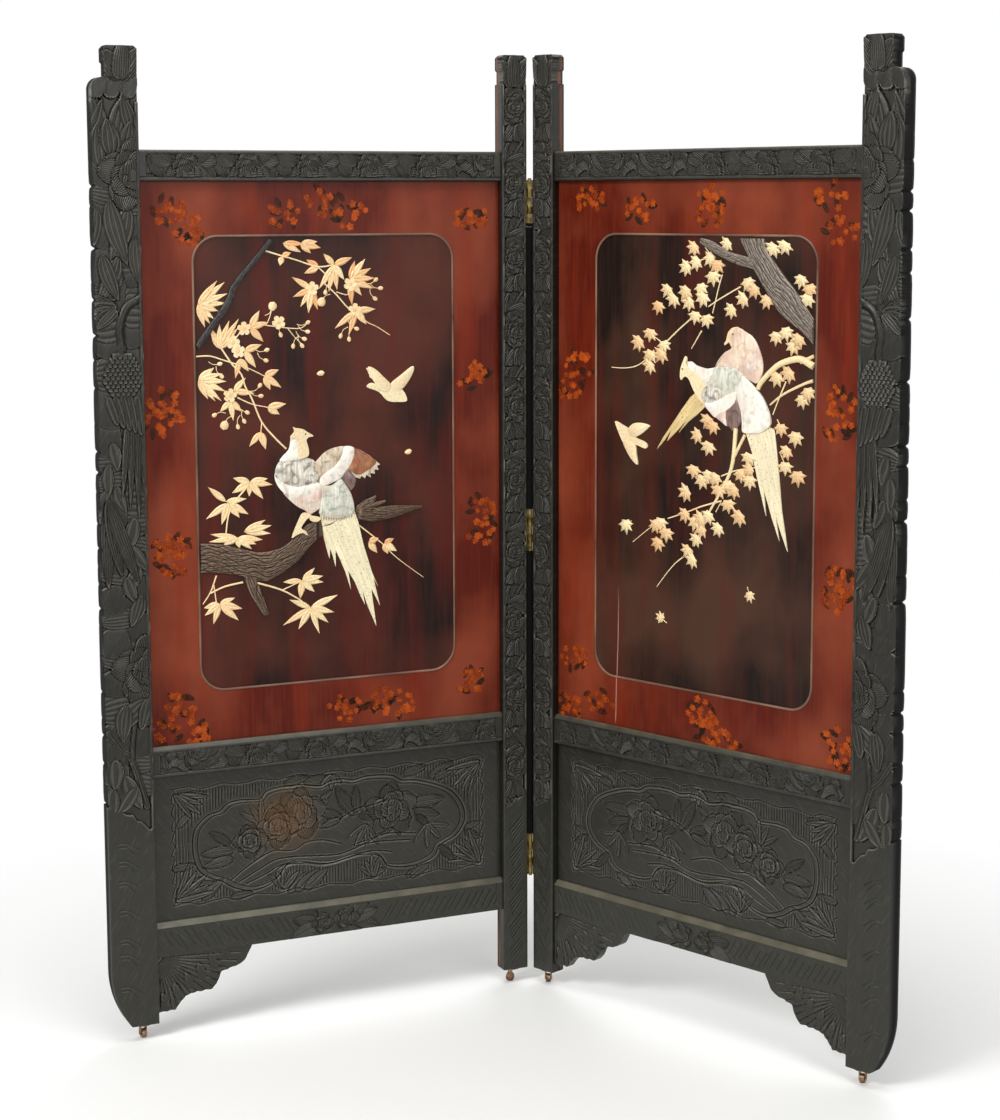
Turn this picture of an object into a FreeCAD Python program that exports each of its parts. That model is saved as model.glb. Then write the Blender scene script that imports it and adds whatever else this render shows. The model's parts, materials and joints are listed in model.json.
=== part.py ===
# Two-fold lacquer screen: two carved and inlaid leaves, hinged in a V, on four small casters.
# Every piece of a leaf is drawn on the leaf laid open and flat: x runs along the leaf from the hinge
# line, to the left on the left leaf, y runs back from the stiles' front and z runs up from the floor.
import FreeCAD, Part
import Sketcher
import math
import os
import re

SIZES = [
    ("leaf_angle", 34, "degrees that each leaf is turned forward from flat"),
    ("pivot_proud", 3, "hinge line in front of the stiles' front"),
    ("hinge_edge", 4, "hinge line to the edge of each inner stile"),
    ("inner_stile_width", 48, "inner stile, hinge edge to panel edge"),
    ("outer_stile_width", 81, "outer stile, panel edge to outer edge"),
    ("panel_opening", 654, "clear width between a leaf's stiles"),
    ("stile_thickness", 30, "front to back of every stile"),
    ("sole_height", 27, "floor to the stiles' soles"),
    ("shoulder_height", 1641, "floor to the stiles' shoulders"),
    ("finial_height", 51, "finial above the shoulder"),
    ("finial_width", 56, "finial of an outer stile, at its widest"),
    ("finial_flare", 3, "finial's neck inside its head, each side"),
    ("finial_neck", 22, "height of the finial's neck"),
    ("finial_chamfer", 5, "bevel round the finial's top"),
    ("shoulder_radius", 20, "round outer shoulder of an outer stile"),
    ("foot_rise", 100, "height over which the outer foot curves in"),
    ("foot_inset", 33, "how far the outer foot curves in"),
    ("groove_front", 17, "stile front to the front of the panel groove"),
    ("groove_width", 8.2, "width of the panel groove"),
    ("groove_depth", 8, "depth of the panel groove"),
    ("groove_clearance", 0.1, "room on each face of a tongue in its groove"),
    ("tongue_gap", 0.5, "room between a tongue's end and the groove's floor"),
    ("rail_front", 5, "rails set back from the stiles' front"),
    ("rail_back", 28, "stile front to the rails' back"),
    ("bottom_rail_low", 143, "floor to the bottom rail"),
    ("bottom_rail_height", 59, "height of the bottom rail"),
    ("bottom_bevel", 8, "bevelled ledge of the bottom rail"),
    ("mid_rail_low", 460, "floor to the middle rail"),
    ("mid_rail_height", 53, "height of the middle rail"),
    ("mid_bevel", 6, "bevelled ledge of the middle rail"),
    ("top_rail_low", 1472, "floor to the top rail"),
    ("top_rail_height", 52, "height of the top rail"),
    ("top_bevel", 3, "eased edge of the top rail"),
    ("window_margin", 91, "inner stile to the sunk field"),
    ("window_width", 469, "width of the sunk field"),
    ("window_low", 604, "floor to the sunk field"),
    ("window_height", 775, "height of the sunk field"),
    ("window_radius", 42, "corner radius of the sunk field"),
    ("field_sink", 1.5, "how far the field is sunk below the border"),
    ("bead_width", 4, "width of the bead round the field"),
    ("bead_proud", 1.5, "height of the bead above the border"),
    ("bracket_front", 7, "brackets set back from the stiles' front"),
    ("bracket_length", 171, "bracket along the bottom rail"),
    ("bracket_drop", 100, "bracket down the stile"),
    ("tip_run", 13, "first step of a bracket's lower edge, along"),
    ("tip_drop", 27, "first step of a bracket's lower edge, down"),
    ("middle_run", 56, "tip to the second step's root, along"),
    ("middle_drop", 40, "tip to the second step's root, down"),
    ("middle_step", 72, "drop of the second step's foot"),
    ("heel_run", 108, "tip to the third step's root, along"),
    ("heel_width", 32, "flat end of the bracket beside the stile"),
    ("inlay_room", 3, "inlay to the field's right and upper edges"),
    ("trunk_thickness", 7, "carved trunk above the field"),
    ("bird_thickness", 4, "pheasants above the field"),
    ("small_bird_thickness", 3, "small birds above the field"),
    ("foliage_thickness", 2, "leaves and blossom above the field"),
    ("hinge_length", 76, "length of a butt hinge"),
    ("hinge_plate", 2, "thickness of a hinge leaf"),
    ("hinge_depth", 25, "hinge leaf from the stile's front"),
    ("knuckle_radius", 4, "outside radius of a hinge knuckle"),
    ("knuckle_gap", 0.4, "gap between neighbouring knuckles"),
    ("pin_radius", 1.8, "radius of a hinge pin"),
    ("pin_clearance", 0.05, "running clearance round pins, stems and axles"),
    ("pin_cap", 3, "height of the cap on each end of a hinge pin"),
    ("top_hinge_height", 1437, "floor to the top hinge's middle"),
    ("middle_hinge_height", 848, "floor to the middle hinge's middle"),
    ("bottom_hinge_height", 245, "floor to the bottom hinge's middle"),
    ("screw_radius", 1.4, "shank radius of a wood screw"),
    ("screw_length", 14, "length of a wood screw below its head"),
    ("screw_head_radius", 2.6, "head radius of a wood screw"),
    ("screw_head_height", 0.6, "head height of a wood screw"),
    ("hinge_screw_pitch", 26, "spacing of the screws in a hinge leaf"),
    ("hinge_screw_depth", 15, "stile front to the hinge screws"),
    ("draught_radius", 4.5, "radius of the draught bead on the hinge line"),
    ("draught_web", 7, "depth of the bead's fixing strip on the stile"),
    ("draught_gap", 4, "end of a draught bead to the next hinge"),
    ("caster_depth", 15, "stile front to the casters' swivels"),
    ("caster_inset", 24, "panel edge of a stile to its caster's swivel"),
    ("plate_radius", 13, "radius of a caster plate"),
    ("plate_thickness", 2, "thickness of a caster plate"),
    ("plate_screw_circle", 9.6, "radius of the screw circle in a caster plate"),
    ("socket_radius", 5, "outside radius of a caster's socket"),
    ("socket_depth", 24, "socket above the stile's sole"),
    ("socket_cap", 2, "closed end of the socket"),
    ("stem_radius", 3, "radius of the fork's stem"),
    ("swivel_gap", 0.3, "fork's crown below its plate"),
    ("crown_radius", 6.5, "radius of the fork's crown"),
    ("crown_thickness", 2.5, "thickness of the fork's crown"),
    ("caster_trail", 5, "swivel to the wheel's axle"),
    ("wheel_radius", 8, "radius of a caster wheel"),
    ("wheel_width", 8, "width of a caster wheel"),
    ("wheel_gap", 0.4, "wheel to each cheek of the fork"),
    ("cheek_thickness", 1.8, "thickness of a fork cheek"),
    ("cheek_width", 8, "width of a fork cheek"),
    ("axle_radius", 1.5, "radius of a wheel's axle"),
    ("axle_head", 0.6, "axle standing out of each cheek"),
    ("left_outer_caster_turn", 8, "degrees that this caster has swivelled"),
    ("left_inner_caster_turn", 62, "degrees that this caster has swivelled"),
    ("right_inner_caster_turn", 35, "degrees that this caster has swivelled"),
    ("right_outer_caster_turn", 20, "degrees that this caster has swivelled"),
]

doc = FreeCAD.newDocument("lacquer_screen")
sheet = doc.addObject("Spreadsheet::Sheet", "Sizes")
for row, (alias, number, meaning) in enumerate(SIZES, start=1):
    sheet.set(f"A{row}", meaning)
    sheet.set(f"B{row}", str(number))
    sheet.setAlias(f"B{row}", alias)
doc.recompute()

ALIASES = re.compile(r"\b(" + "|".join(alias for alias, number, meaning in SIZES) + r")\b")
SIDES = {"left": -1, "right": 1}
HINGES = ("top", "middle", "bottom")
UP = FreeCAD.Vector(0, 0, 1)

# Places along a leaf, measured from the hinge line
PANEL_NEAR = "(hinge_edge + inner_stile_width)"
PANEL_FAR = f"({PANEL_NEAR} + panel_opening)"
LEAF_REACH = f"({PANEL_FAR} + outer_stile_width)"
WINDOW_NEAR = f"({PANEL_NEAR} + window_margin)"
FINIAL_TOP = "(shoulder_height + finial_height)"
FIELD_PLANE = "(groove_front + groove_clearance + field_sink)"
PANEL_BACK = "(groove_front + groove_width - groove_clearance)"
TONGUE = "(groove_depth - tongue_gap)"

# Distance of the hinge line behind the middle of the open screen's depth
HINGE_LINE = (f"(((hinge_edge + {LEAF_REACH}) * sin(leaf_angle)"
              " - (stile_thickness + 2 * pivot_proud) * cos(leaf_angle)) / 2)")

nodes = []


def bound(text):
    """Write each size's name as a reference to its cell."""
    return ALIASES.sub(r"Sizes.\1", str(text))


def value(text):
    """Work out a length from the sheet."""
    return float(sheet.evalExpression(bound(text)))


def bind(piece, **lengths):
    """Tie properties of a piece to the sheet."""
    for key, text in lengths.items():
        piece.setExpression(key, bound(text))
    return piece


def stand(piece, side=1, along="0", depth="0", turn="0"):
    """Put a piece that is drawn about a point of its leaf in its place in the open V."""
    back = f"({depth} + pivot_proud)"
    x = f"{side} * ({along} * cos(leaf_angle) + {back} * sin(leaf_angle))"
    y = f"{HINGE_LINE} - {along} * sin(leaf_angle) + {back} * cos(leaf_angle)"
    turned = f"rotation(vector(0; 0; 1); {turn} - {side} * leaf_angle)"
    return bind(piece, Placement=f"placement(vector({x}; {y}; 0); {turned})")


def keep(piece, label, side=1, along="0", depth="0", turn="0"):
    """Name a finished piece and put it in its place."""
    piece.Label = label
    nodes.append(stand(piece, side, along, depth, turn))
    return piece


def move(piece, x, y, z):
    """Tie the corner or centre of a primitive to the sheet."""
    for key, text in zip("xyz", (x, y, z)):
        piece.setExpression(f"Placement.Base.{key}", bound(text))
    return piece


def box(name, x, y, z, length, width, height):
    """Add a block with its low corner at x, y, z."""
    piece = doc.addObject("Part::Box", name)
    bind(piece, Length=length, Width=width, Height=height)
    return move(piece, x, y, z)


def leaf_box(name, side, near, y, z, length, width, height):
    """Add a block that starts at a distance along the leaf and runs outward."""
    start = near if side > 0 else f"-({near} + {length})"
    return box(name, start, y, z, length, width, height)


def rod(name, radius, height, x="0", y="0", z="0", axis=UP):
    """Add a round bar that starts at x, y, z and runs along an axis."""
    piece = doc.addObject("Part::Cylinder", name)
    bind(piece, Radius=radius, Height=height)
    piece.Placement.Rotation = FreeCAD.Rotation(UP, axis)
    return move(piece, x, y, z)


def fuse(name, pieces):
    """Join solids into one."""
    joined = doc.addObject("Part::MultiFuse", name)
    joined.Shapes = pieces
    return joined


def group(name, pieces):
    """Keep like solids together as one node."""
    gathered = doc.addObject("Part::Compound", name)
    gathered.Links = pieces
    return gathered


def cut(name, base, tool):
    """Take one solid out of another."""
    piece = doc.addObject("Part::Cut", name)
    piece.Base = base
    piece.Tool = tool
    return piece


def new_body(name):
    """Start a piece that is made from sketches."""
    return doc.addObject("PartDesign::Body", name)


def arc_between(start, end, radius, turn):
    """Give the arc that bulges out of an outline, as the sketch draws it."""
    chord = end - start
    half = chord.Length / 2
    inward = FreeCAD.Vector(-chord.y, chord.x, 0).normalize() * turn
    centre = (start + end) / 2 + inward * math.sqrt(max(radius * radius - half * half, 0))
    first, last = (start, end) if turn > 0 else (end, start)
    angles = [math.atan2(point.y - centre.y, point.x - centre.x) for point in (first, last)]
    if angles[1] < angles[0]:
        angles[1] += 2 * math.pi
    return Part.ArcOfCircle(Part.Circle(centre, UP, radius), *angles)


def outline(body, name, role, corners, rounds=None, shift="0"):
    """Sketch a closed outline. rounds gives the radius of the arc that leaves a corner."""
    rounds = rounds or {}
    sketch = body.newObject("Sketcher::SketchObject", name)
    plane = next(item for item in body.Origin.OriginFeatures if item.Role == role)
    sketch.AttachmentSupport = (plane, [""])
    sketch.MapMode = "FlatFace"
    sketch.setExpression("AttachmentOffset.Base.z", bound(shift))
    points = [FreeCAD.Vector(value(x), value(y), 0) for x, y in corners]
    following = points[1:] + points[:1]
    area = sum(a.x * b.y - b.x * a.y for a, b in zip(points, following))
    turn = 1 if area > 0 else -1
    ends = []
    for index, (start, end) in enumerate(zip(points, following)):
        if index in rounds:
            sketch.addGeometry(arc_between(start, end, value(rounds[index]), turn))
            ends.append((1, 2) if turn > 0 else (2, 1))
        else:
            sketch.addGeometry(Part.LineSegment(start, end))
            ends.append((1, 2))
    for index in range(len(corners)):
        after = (index + 1) % len(corners)
        sketch.addConstraint(Sketcher.Constraint("Coincident", index, ends[index][1], after, ends[after][0]))
    ties = []
    for index, (x, y) in enumerate(corners):
        start = ends[index][0]
        for kind, text in (("DistanceX", x), ("DistanceY", y)):
            tie = sketch.addConstraint(Sketcher.Constraint(kind, -1, 1, index, start, value(text)))
            ties.append((tie, text))
        if index in rounds:
            tie = sketch.addConstraint(Sketcher.Constraint("Radius", index, value(rounds[index])))
            ties.append((tie, rounds[index]))
    for tie, text in ties:
        sketch.setExpression(f"Constraints[{tie}]", bound(text))
    return sketch


def pad(body, sketch, length):
    """Raise a sketch by a length."""
    feature = body.newObject("PartDesign::Pad", sketch.Name + "_pad")
    feature.Profile = sketch
    return bind(feature, Length=length)


def pocket(body, sketch, length):
    """Cut a sketch in by a length, against its plane's normal."""
    feature = body.newObject("PartDesign::Pocket", sketch.Name + "_pocket")
    feature.Profile = sketch
    return bind(feature, Length=length)


def slab(body, name, corners, front, back, rounds=None):
    """Add a flat piece with an outline on the leaf's face, between two depths."""
    return pad(body, outline(body, name, "XZ_Plane", corners, rounds, f"-({back})"), f"{back} - ({front})")


def mirrored(side, corners):
    """Turn distances along the leaf into x on its side."""
    return [(f"{side} * ({along})", height) for along, height in corners]


def round_corners(near, far, low, high, radius):
    """Corners and arcs of an upright rectangle with round corners."""
    corners = [(f"{near} + {radius}", low), (f"{far} - {radius}", low),
               (far, f"{low} + {radius}"), (far, f"{high} - {radius}"),
               (f"{far} - {radius}", high), (f"{near} + {radius}", high),
               (near, f"{high} - {radius}"), (near, f"{low} + {radius}")]
    return corners, {index: radius for index in (1, 3, 5, 7)}


def plough(body, side, near, name):
    """Cut the panel groove down a stile's panel edge."""
    far = f"({near} + groove_depth)"
    corners = [(near, "groove_front"), (far, "groove_front"),
               (far, "groove_front + groove_width"), (near, "groove_front + groove_width")]
    sketch = outline(body, name, "XY_Plane", mirrored(side, corners), shift="shoulder_height")
    return pocket(body, sketch, "shoulder_height - sole_height")


# Stiles: one board each, with the finial in one piece, the panel groove, the caster's socket hole,
# the pilot holes of the plate's screws and, on the inner ones, the hinge mortises

PLATE_SCREW_ANGLES = (90, 210, 330)


def caster_place(which):
    """Give the distance along the leaf to a caster's swivel."""
    return f"({PANEL_FAR} + caster_inset)" if which == "outer" else f"({PANEL_NEAR} - caster_inset)"


def plate_screw_places(which, side):
    """Give x and y of each screw round a caster's swivel."""
    along = caster_place(which)
    for angle in PLATE_SCREW_ANGLES:
        yield (f"{side} * {along} + plate_screw_circle * cos({angle})",
               f"caster_depth + plate_screw_circle * sin({angle})")


def hinge_screw_heights():
    """Give the height of each hinge screw."""
    for hinge in HINGES:
        for step in (-1, 0, 1):
            yield f"{hinge}_hinge_height + {step} * hinge_screw_pitch"


def stile_holes(leaf, which, side):
    """Give what is cut from a stile for its caster."""
    x = f"{side} * {caster_place(which)}"
    holes = [rod(f"{leaf}_{which}_socket_hole", "socket_radius + pin_clearance", "socket_depth + tongue_gap",
                 x, "caster_depth", "sole_height")]
    for number, (screw_x, screw_y) in enumerate(plate_screw_places(which, side)):
        holes.append(rod(f"{leaf}_{which}_pilot_{number}", "screw_radius + pin_clearance",
                         "screw_length + tongue_gap", screw_x, screw_y, "sole_height"))
    return holes


def hinge_mortises(leaf, side):
    """Give what is cut from an inner stile for its hinge leaves and their screws."""
    cuts = []
    for hinge in HINGES:
        low = f"{hinge}_hinge_height - hinge_length / 2 - groove_clearance"
        cuts.append(leaf_box(f"{leaf}_{hinge}_mortise", side, "hinge_edge", "0", low,
                             "(hinge_plate + groove_clearance)", "hinge_depth + groove_clearance",
                             "hinge_length + 2 * groove_clearance"))
    for number, height in enumerate(hinge_screw_heights()):
        cuts.append(rod(f"{leaf}_hinge_pilot_{number}", "screw_radius + pin_clearance",
                        "screw_length + tongue_gap", f"{side} * hinge_edge", "hinge_screw_depth", height,
                        FreeCAD.Vector(side, 0, 0)))
    return cuts


for leaf, side in SIDES.items():
    head = f"{PANEL_FAR} + finial_width"
    outer = new_body(f"{leaf}_outer_stile_body")
    corners = [(PANEL_FAR, "sole_height"),
               (f"{LEAF_REACH} - foot_inset", "sole_height"),
               (LEAF_REACH, "sole_height + foot_rise"),
               (LEAF_REACH, "shoulder_height - shoulder_radius"),
               (f"{LEAF_REACH} - shoulder_radius", "shoulder_height"),
               (f"{head} - finial_flare", "shoulder_height"),
               (f"{head} - finial_flare", "shoulder_height + finial_neck"),
               (head, "shoulder_height + finial_neck + finial_flare"),
               (head, f"{FINIAL_TOP} - finial_chamfer"),
               (f"{head} - finial_chamfer", FINIAL_TOP),
               (f"{PANEL_FAR} + finial_chamfer", FINIAL_TOP),
               (PANEL_FAR, f"{FINIAL_TOP} - finial_chamfer")]
    rounds = {1: "(foot_rise * foot_rise + foot_inset * foot_inset) / (2 * foot_inset)", 3: "shoulder_radius"}
    slab(outer, f"{leaf}_outer_stile_face", mirrored(side, corners), "0", "stile_thickness", rounds)
    plough(outer, side, PANEL_FAR, f"{leaf}_outer_groove")
    holes = fuse(f"{leaf}_outer_stile_holes", stile_holes(leaf, "outer", side))
    keep(cut(f"{leaf}_outer_stile_cut", outer, holes), f"{leaf}_outer_stile", side)

    inner = new_body(f"{leaf}_inner_stile_body")
    corners = [("hinge_edge", "sole_height"),
               (PANEL_NEAR, "sole_height"),
               (PANEL_NEAR, "shoulder_height"),
               (f"{PANEL_NEAR} - finial_flare", "shoulder_height"),
               (f"{PANEL_NEAR} - finial_flare", "shoulder_height + finial_neck"),
               (PANEL_NEAR, "shoulder_height + finial_neck + finial_flare"),
               (PANEL_NEAR, f"{FINIAL_TOP} - finial_chamfer"),
               (f"{PANEL_NEAR} - finial_chamfer", FINIAL_TOP),
               ("hinge_edge + finial_chamfer", FINIAL_TOP),
               ("hinge_edge", f"{FINIAL_TOP} - finial_chamfer")]
    slab(inner, f"{leaf}_inner_stile_face", mirrored(side, corners), "0", "stile_thickness")
    plough(inner, side, f"{PANEL_NEAR} - groove_depth", f"{leaf}_inner_groove")
    holes = fuse(f"{leaf}_inner_stile_holes", stile_holes(leaf, "inner", side) + hinge_mortises(leaf, side))
    keep(cut(f"{leaf}_inner_stile_cut", inner, holes), f"{leaf}_inner_stile", side)

# Rails: moulded bars between the stiles, with a ledge, panel grooves and a tongue at each end

RAILS = {"top": ("lower",), "mid": ("lower", "upper"), "bottom": ("lower", "upper")}
for leaf, side in SIDES.items():
    for rail, grooves in RAILS.items():
        low = f"{rail}_rail_low"
        high = f"({rail}_rail_low + {rail}_rail_height)"
        bevel = f"{rail}_bevel"
        groove_back = "groove_front + groove_width"
        corners = [("rail_front", low), ("rail_front", f"{high} - {bevel}"), (f"rail_front + {bevel}", high)]
        tenon_low, tenon_high = f"{low} + groove_depth", high
        if "upper" in grooves:
            tenon_high = f"({high} - groove_depth)"
            corners += [("groove_front", high), ("groove_front", f"{high} - groove_depth"),
                        (groove_back, f"{high} - groove_depth"), (groove_back, high)]
        corners += [("rail_back", high), ("rail_back", low), (groove_back, low),
                    (groove_back, f"{low} + groove_depth"), ("groove_front", f"{low} + groove_depth"),
                    ("groove_front", low)]
        body = new_body(f"{leaf}_{rail}_rail_body")
        start = PANEL_NEAR if side > 0 else f"-{PANEL_FAR}"
        pad(body, outline(body, f"{leaf}_{rail}_moulding", "YZ_Plane", corners, shift=start), "panel_opening")
        tongue = [("groove_front + groove_clearance", tenon_low), (PANEL_BACK, tenon_low),
                  (PANEL_BACK, tenon_high), ("groove_front + groove_clearance", tenon_high)]
        sketch = outline(body, f"{leaf}_{rail}_tongue", "YZ_Plane", tongue, shift=f"{start} - {TONGUE}")
        pad(body, sketch, f"panel_opening + 2 * {TONGUE}")
        keep(body, f"{leaf}_{rail}_rail", side)

# Panels: the upper one of lacquered boards with a sunk field and a bead round it, the lower one carved

for leaf, side in SIDES.items():
    near, far = f"({PANEL_NEAR} - {TONGUE})", f"({PANEL_FAR} + {TONGUE})"
    front = "(groove_front + groove_clearance)"
    low = f"(mid_rail_low + mid_rail_height - {TONGUE})"
    high = f"(top_rail_low + {TONGUE})"
    window_far = f"({WINDOW_NEAR} + window_width)"
    window_high = "(window_low + window_height)"
    panel = new_body(f"{leaf}_lacquer_panel_body")
    slab(panel, f"{leaf}_boards", mirrored(side, [(near, low), (far, low), (far, high), (near, high)]),
         front, PANEL_BACK)
    corners, rounds = round_corners(WINDOW_NEAR, window_far, "window_low", window_high, "window_radius")
    sketch = outline(panel, f"{leaf}_field", "XZ_Plane", mirrored(side, corners), rounds, f"-{front}")
    pocket(panel, sketch, "field_sink")
    keep(panel, f"{leaf}_lacquer_panel", side)

    bead = new_body(f"{leaf}_window_bead_body")
    edge = round_corners(f"({WINDOW_NEAR} - bead_width)", f"({window_far} + bead_width)",
                         "(window_low - bead_width)", f"({window_high} + bead_width)",
                         "(window_radius + bead_width)")
    slab(bead, f"{leaf}_bead_edge", mirrored(side, edge[0]), f"({front} - bead_proud)", front, edge[1])
    sketch = outline(bead, f"{leaf}_bead_hole", "XZ_Plane", mirrored(side, corners), rounds,
                     f"-({front} - bead_proud)")
    pocket(bead, sketch, "bead_proud")
    keep(bead, f"{leaf}_window_bead", side)

    low = f"(bottom_rail_low + bottom_rail_height - {TONGUE})"
    high = f"(mid_rail_low + {TONGUE})"
    board = new_body(f"{leaf}_carved_panel_body")
    slab(board, f"{leaf}_carved_board", mirrored(side, [(near, low), (far, low), (far, high), (near, high)]),
         front, PANEL_BACK)
    keep(board, f"{leaf}_carved_panel", side)

# Brackets: stepped boards under the bottom rail, tongued into the stile and the rail.
# The left leaf has lost its inner one.

for leaf, which in (("left", "outer"), ("right", "inner"), ("right", "outer")):
    side = SIDES[leaf]
    root, towards_tip = (PANEL_FAR, "-1") if which == "outer" else (PANEL_NEAR, "1")
    rail = "bottom_rail_low"
    steps = [("0", "0"), ("bracket_length", "0"), ("bracket_length - tip_run", "tip_drop"),
             ("bracket_length - middle_run", "middle_drop"),
             ("bracket_length - middle_run - tip_run", "middle_step"),
             ("bracket_length - heel_run", "middle_step"),
             ("heel_width", "bracket_drop"), ("0", "bracket_drop")]
    corners = [(f"{root} + {towards_tip} * ({run})", f"{rail} - ({drop})") for run, drop in steps]
    bracket = new_body(f"{leaf}_{which}_bracket_body")
    slab(bracket, f"{leaf}_{which}_bracket_face", mirrored(side, corners), "bracket_front", PANEL_BACK)
    tongues = [("-" + TONGUE, "heel_width", "tip_drop", "bracket_drop - tip_drop"),
               ("0", "bracket_length - tip_run", "-" + TONGUE, "tip_drop / 2")]
    for number, (first, last, top, foot) in enumerate(tongues):
        ends = [(first, top), (last, top), (last, foot), (first, foot)]
        corners = [(f"{root} + {towards_tip} * ({run})", f"{rail} - ({drop})") for run, drop in ends]
        slab(bracket, f"{leaf}_{which}_bracket_tongue_{number}", mirrored(side, corners),
             "groove_front + groove_clearance", PANEL_BACK)
    keep(bracket, f"{leaf}_{which}_bracket", side)

# Inlay: flat cut pieces laid on the field. Outlines run from the field's left edge, as seen from the
# front, and up from its lower edge. The right trunk grows in from the field's right and upper edges, so
# it gives the drawing's reach, and the drawing spreads with the field.

LEFT_TRUNK = [
    [(1, 256), (39, 252), (84, 239), (113, 234), (145, 239), (171, 256), (191, 275), (214, 283),
     (223, 256), (201, 240), (171, 210), (128, 185), (109, 183), (70, 195), (29, 203), (1, 204)],
    [(290, 301), (322, 318), (330, 308), (408, 297), (375, 281), (318, 276), (292, 283)],
    [(77, 190), (100, 183), (121, 125), (109, 126), (92, 153)],
]
LEFT_PHEASANT = [
    [(172, 448), (208, 431), (198, 397), (219, 391), (269, 409), (285, 406), (329, 375), (298, 353),
     (281, 333), (281, 292), (304, 233), (323, 158), (327, 124), (321, 87), (300, 128), (273, 157),
     (245, 200), (219, 286), (198, 293), (172, 314), (146, 340), (137, 363), (147, 390), (164, 414)],
]
LEFT_SMALL_BIRD = [
    [(308, 514), (312, 522), (326, 522), (314, 548), (351, 517), (394, 546), (372, 503), (382, 489),
     (350, 487), (330, 502), (310, 504)],
]
LEFT_SPRAYS = [
    (190, 748, 20), (236, 722, 26), (285, 735, 24), (282, 682, 26), (330, 690, 20), (302, 634, 20),
    (25, 672, 22), (85, 628, 30), (142, 636, 24), (60, 575, 24), (26, 530, 20), (64, 506, 20),
    (110, 560, 20), (91, 352, 30), (48, 312, 26), (92, 280, 18), (182, 178, 28), (208, 124, 28),
    (36, 140, 26), (352, 222, 16), (219, 539, 5), (384, 395, 6),
]
RIGHT_TRUNK = [
    [(231, 772), (256, 767), (294, 750), (325, 745), (314, 772), (364, 772), (373, 750), (406, 712),
     (427, 691), (466, 645), (466, 602), (446, 620), (404, 647), (380, 671), (349, 713), (309, 729),
     (263, 746), (231, 762)],
]
RIGHT_FRONT_PHEASANT = [
    [(200, 572), (219, 562), (261, 557), (289, 559), (324, 546), (357, 524), (382, 477), (390, 408),
     (412, 330), (417, 262), (373, 319), (352, 372), (331, 449), (303, 456), (264, 476), (240, 494),
     (229, 508), (211, 536), (196, 532), (189, 553)],
]
RIGHT_BACK_PHEASANT = [
    [(283, 598), (290, 616), (306, 626), (326, 619), (347, 609), (360, 590), (363, 563), (351, 532),
     (325, 549), (289, 562), (263, 560), (274, 576), (297, 591)],
    [(225, 507), (236, 494), (200, 452), (137, 409), (180, 462)],
]
RIGHT_SMALL_BIRD = [
    [(44, 452), (75, 441), (92, 450), (119, 444), (92, 425), (115, 414), (108, 404), (86, 415),
     (90, 380), (78, 382), (62, 410)],
]
RIGHT_BRANCH = [
    [(366, 538), (372, 556), (395, 574), (420, 581), (443, 582), (452, 573), (466, 571), (466, 560),
     (444, 561), (437, 571), (405, 569), (383, 556), (372, 534)],
]
RIGHT_SPRAYS = [
    (250, 718, 22), (290, 705, 18), (330, 684, 24), (195, 657, 28), (250, 655, 20), (160, 625, 18),
    (127, 583, 26), (448, 700, 16), (416, 614, 20), (438, 518, 20), (422, 451, 18), (443, 404, 20),
    (255, 448, 18), (225, 395, 16), (267, 364, 24), (310, 334, 24), (213, 299, 24), (262, 290, 18),
    (165, 310, 18), (101, 271, 20), (147, 266, 20), (213, 239, 24), (175, 205, 14), (339, 179, 13),
    (152, 118, 13),
]
DRAWN_WIDTH = max(x for x, z in RIGHT_TRUNK[0])
DRAWN_HEIGHT = max(z for x, z in RIGHT_TRUNK[0])
STAR_TIPS = 7
STAR_NOTCH = 0.45


def star(x, z, radius):
    """Outline of a spray: pointed leaves round one stalk."""
    points = []
    for step in range(2 * STAR_TIPS):
        reach = radius * (1 if step % 2 == 0 else STAR_NOTCH)
        angle = math.pi * step / STAR_TIPS
        points.append((x + reach * math.sin(angle), z + reach * math.cos(angle)))
    return points


def inlay(name, side, outlines, thickness):
    """Lay cut pieces on a leaf's field."""
    left_edge = value(WINDOW_NEAR) if side > 0 else -value(f"{WINDOW_NEAR} + window_width")
    low, plane = value("window_low"), value(FIELD_PLANE)
    across = value("window_width - inlay_room") / DRAWN_WIDTH
    up = value("window_height - inlay_room") / DRAWN_HEIGHT
    forward = FreeCAD.Vector(0, -value(thickness), 0)
    solids = []
    for points in outlines:
        wire = [FreeCAD.Vector(left_edge + x * across, plane, low + z * up) for x, z in points]
        solids.append(Part.Face(Part.makePolygon(wire + wire[:1])).extrude(forward))
    piece = doc.addObject("Part::Feature", name + "_shape")
    piece.Shape = solids[0] if len(solids) == 1 else Part.makeCompound(solids)
    return keep(piece, name, side)


inlay("left_trunk_inlay", -1, LEFT_TRUNK, "trunk_thickness")
inlay("left_pheasant_inlay", -1, LEFT_PHEASANT, "bird_thickness")
inlay("left_small_bird_inlay", -1, LEFT_SMALL_BIRD, "small_bird_thickness")
inlay("left_foliage_inlay", -1, [star(*spray) for spray in LEFT_SPRAYS], "foliage_thickness")
inlay("right_trunk_inlay", 1, RIGHT_TRUNK, "trunk_thickness")
inlay("right_front_pheasant_inlay", 1, RIGHT_FRONT_PHEASANT, "bird_thickness")
inlay("right_back_pheasant_inlay", 1, RIGHT_BACK_PHEASANT, "bird_thickness")
inlay("right_small_bird_inlay", 1, RIGHT_SMALL_BIRD, "small_bird_thickness")
inlay("right_foliage_inlay", 1, RIGHT_BRANCH + [star(*spray) for spray in RIGHT_SPRAYS], "foliage_thickness")

# Hinges: butt hinges let into the meeting edges, five knuckles each, three on the left leaf.
# The knuckles and the pin are drawn on the left leaf's side of the hinge line.

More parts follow.
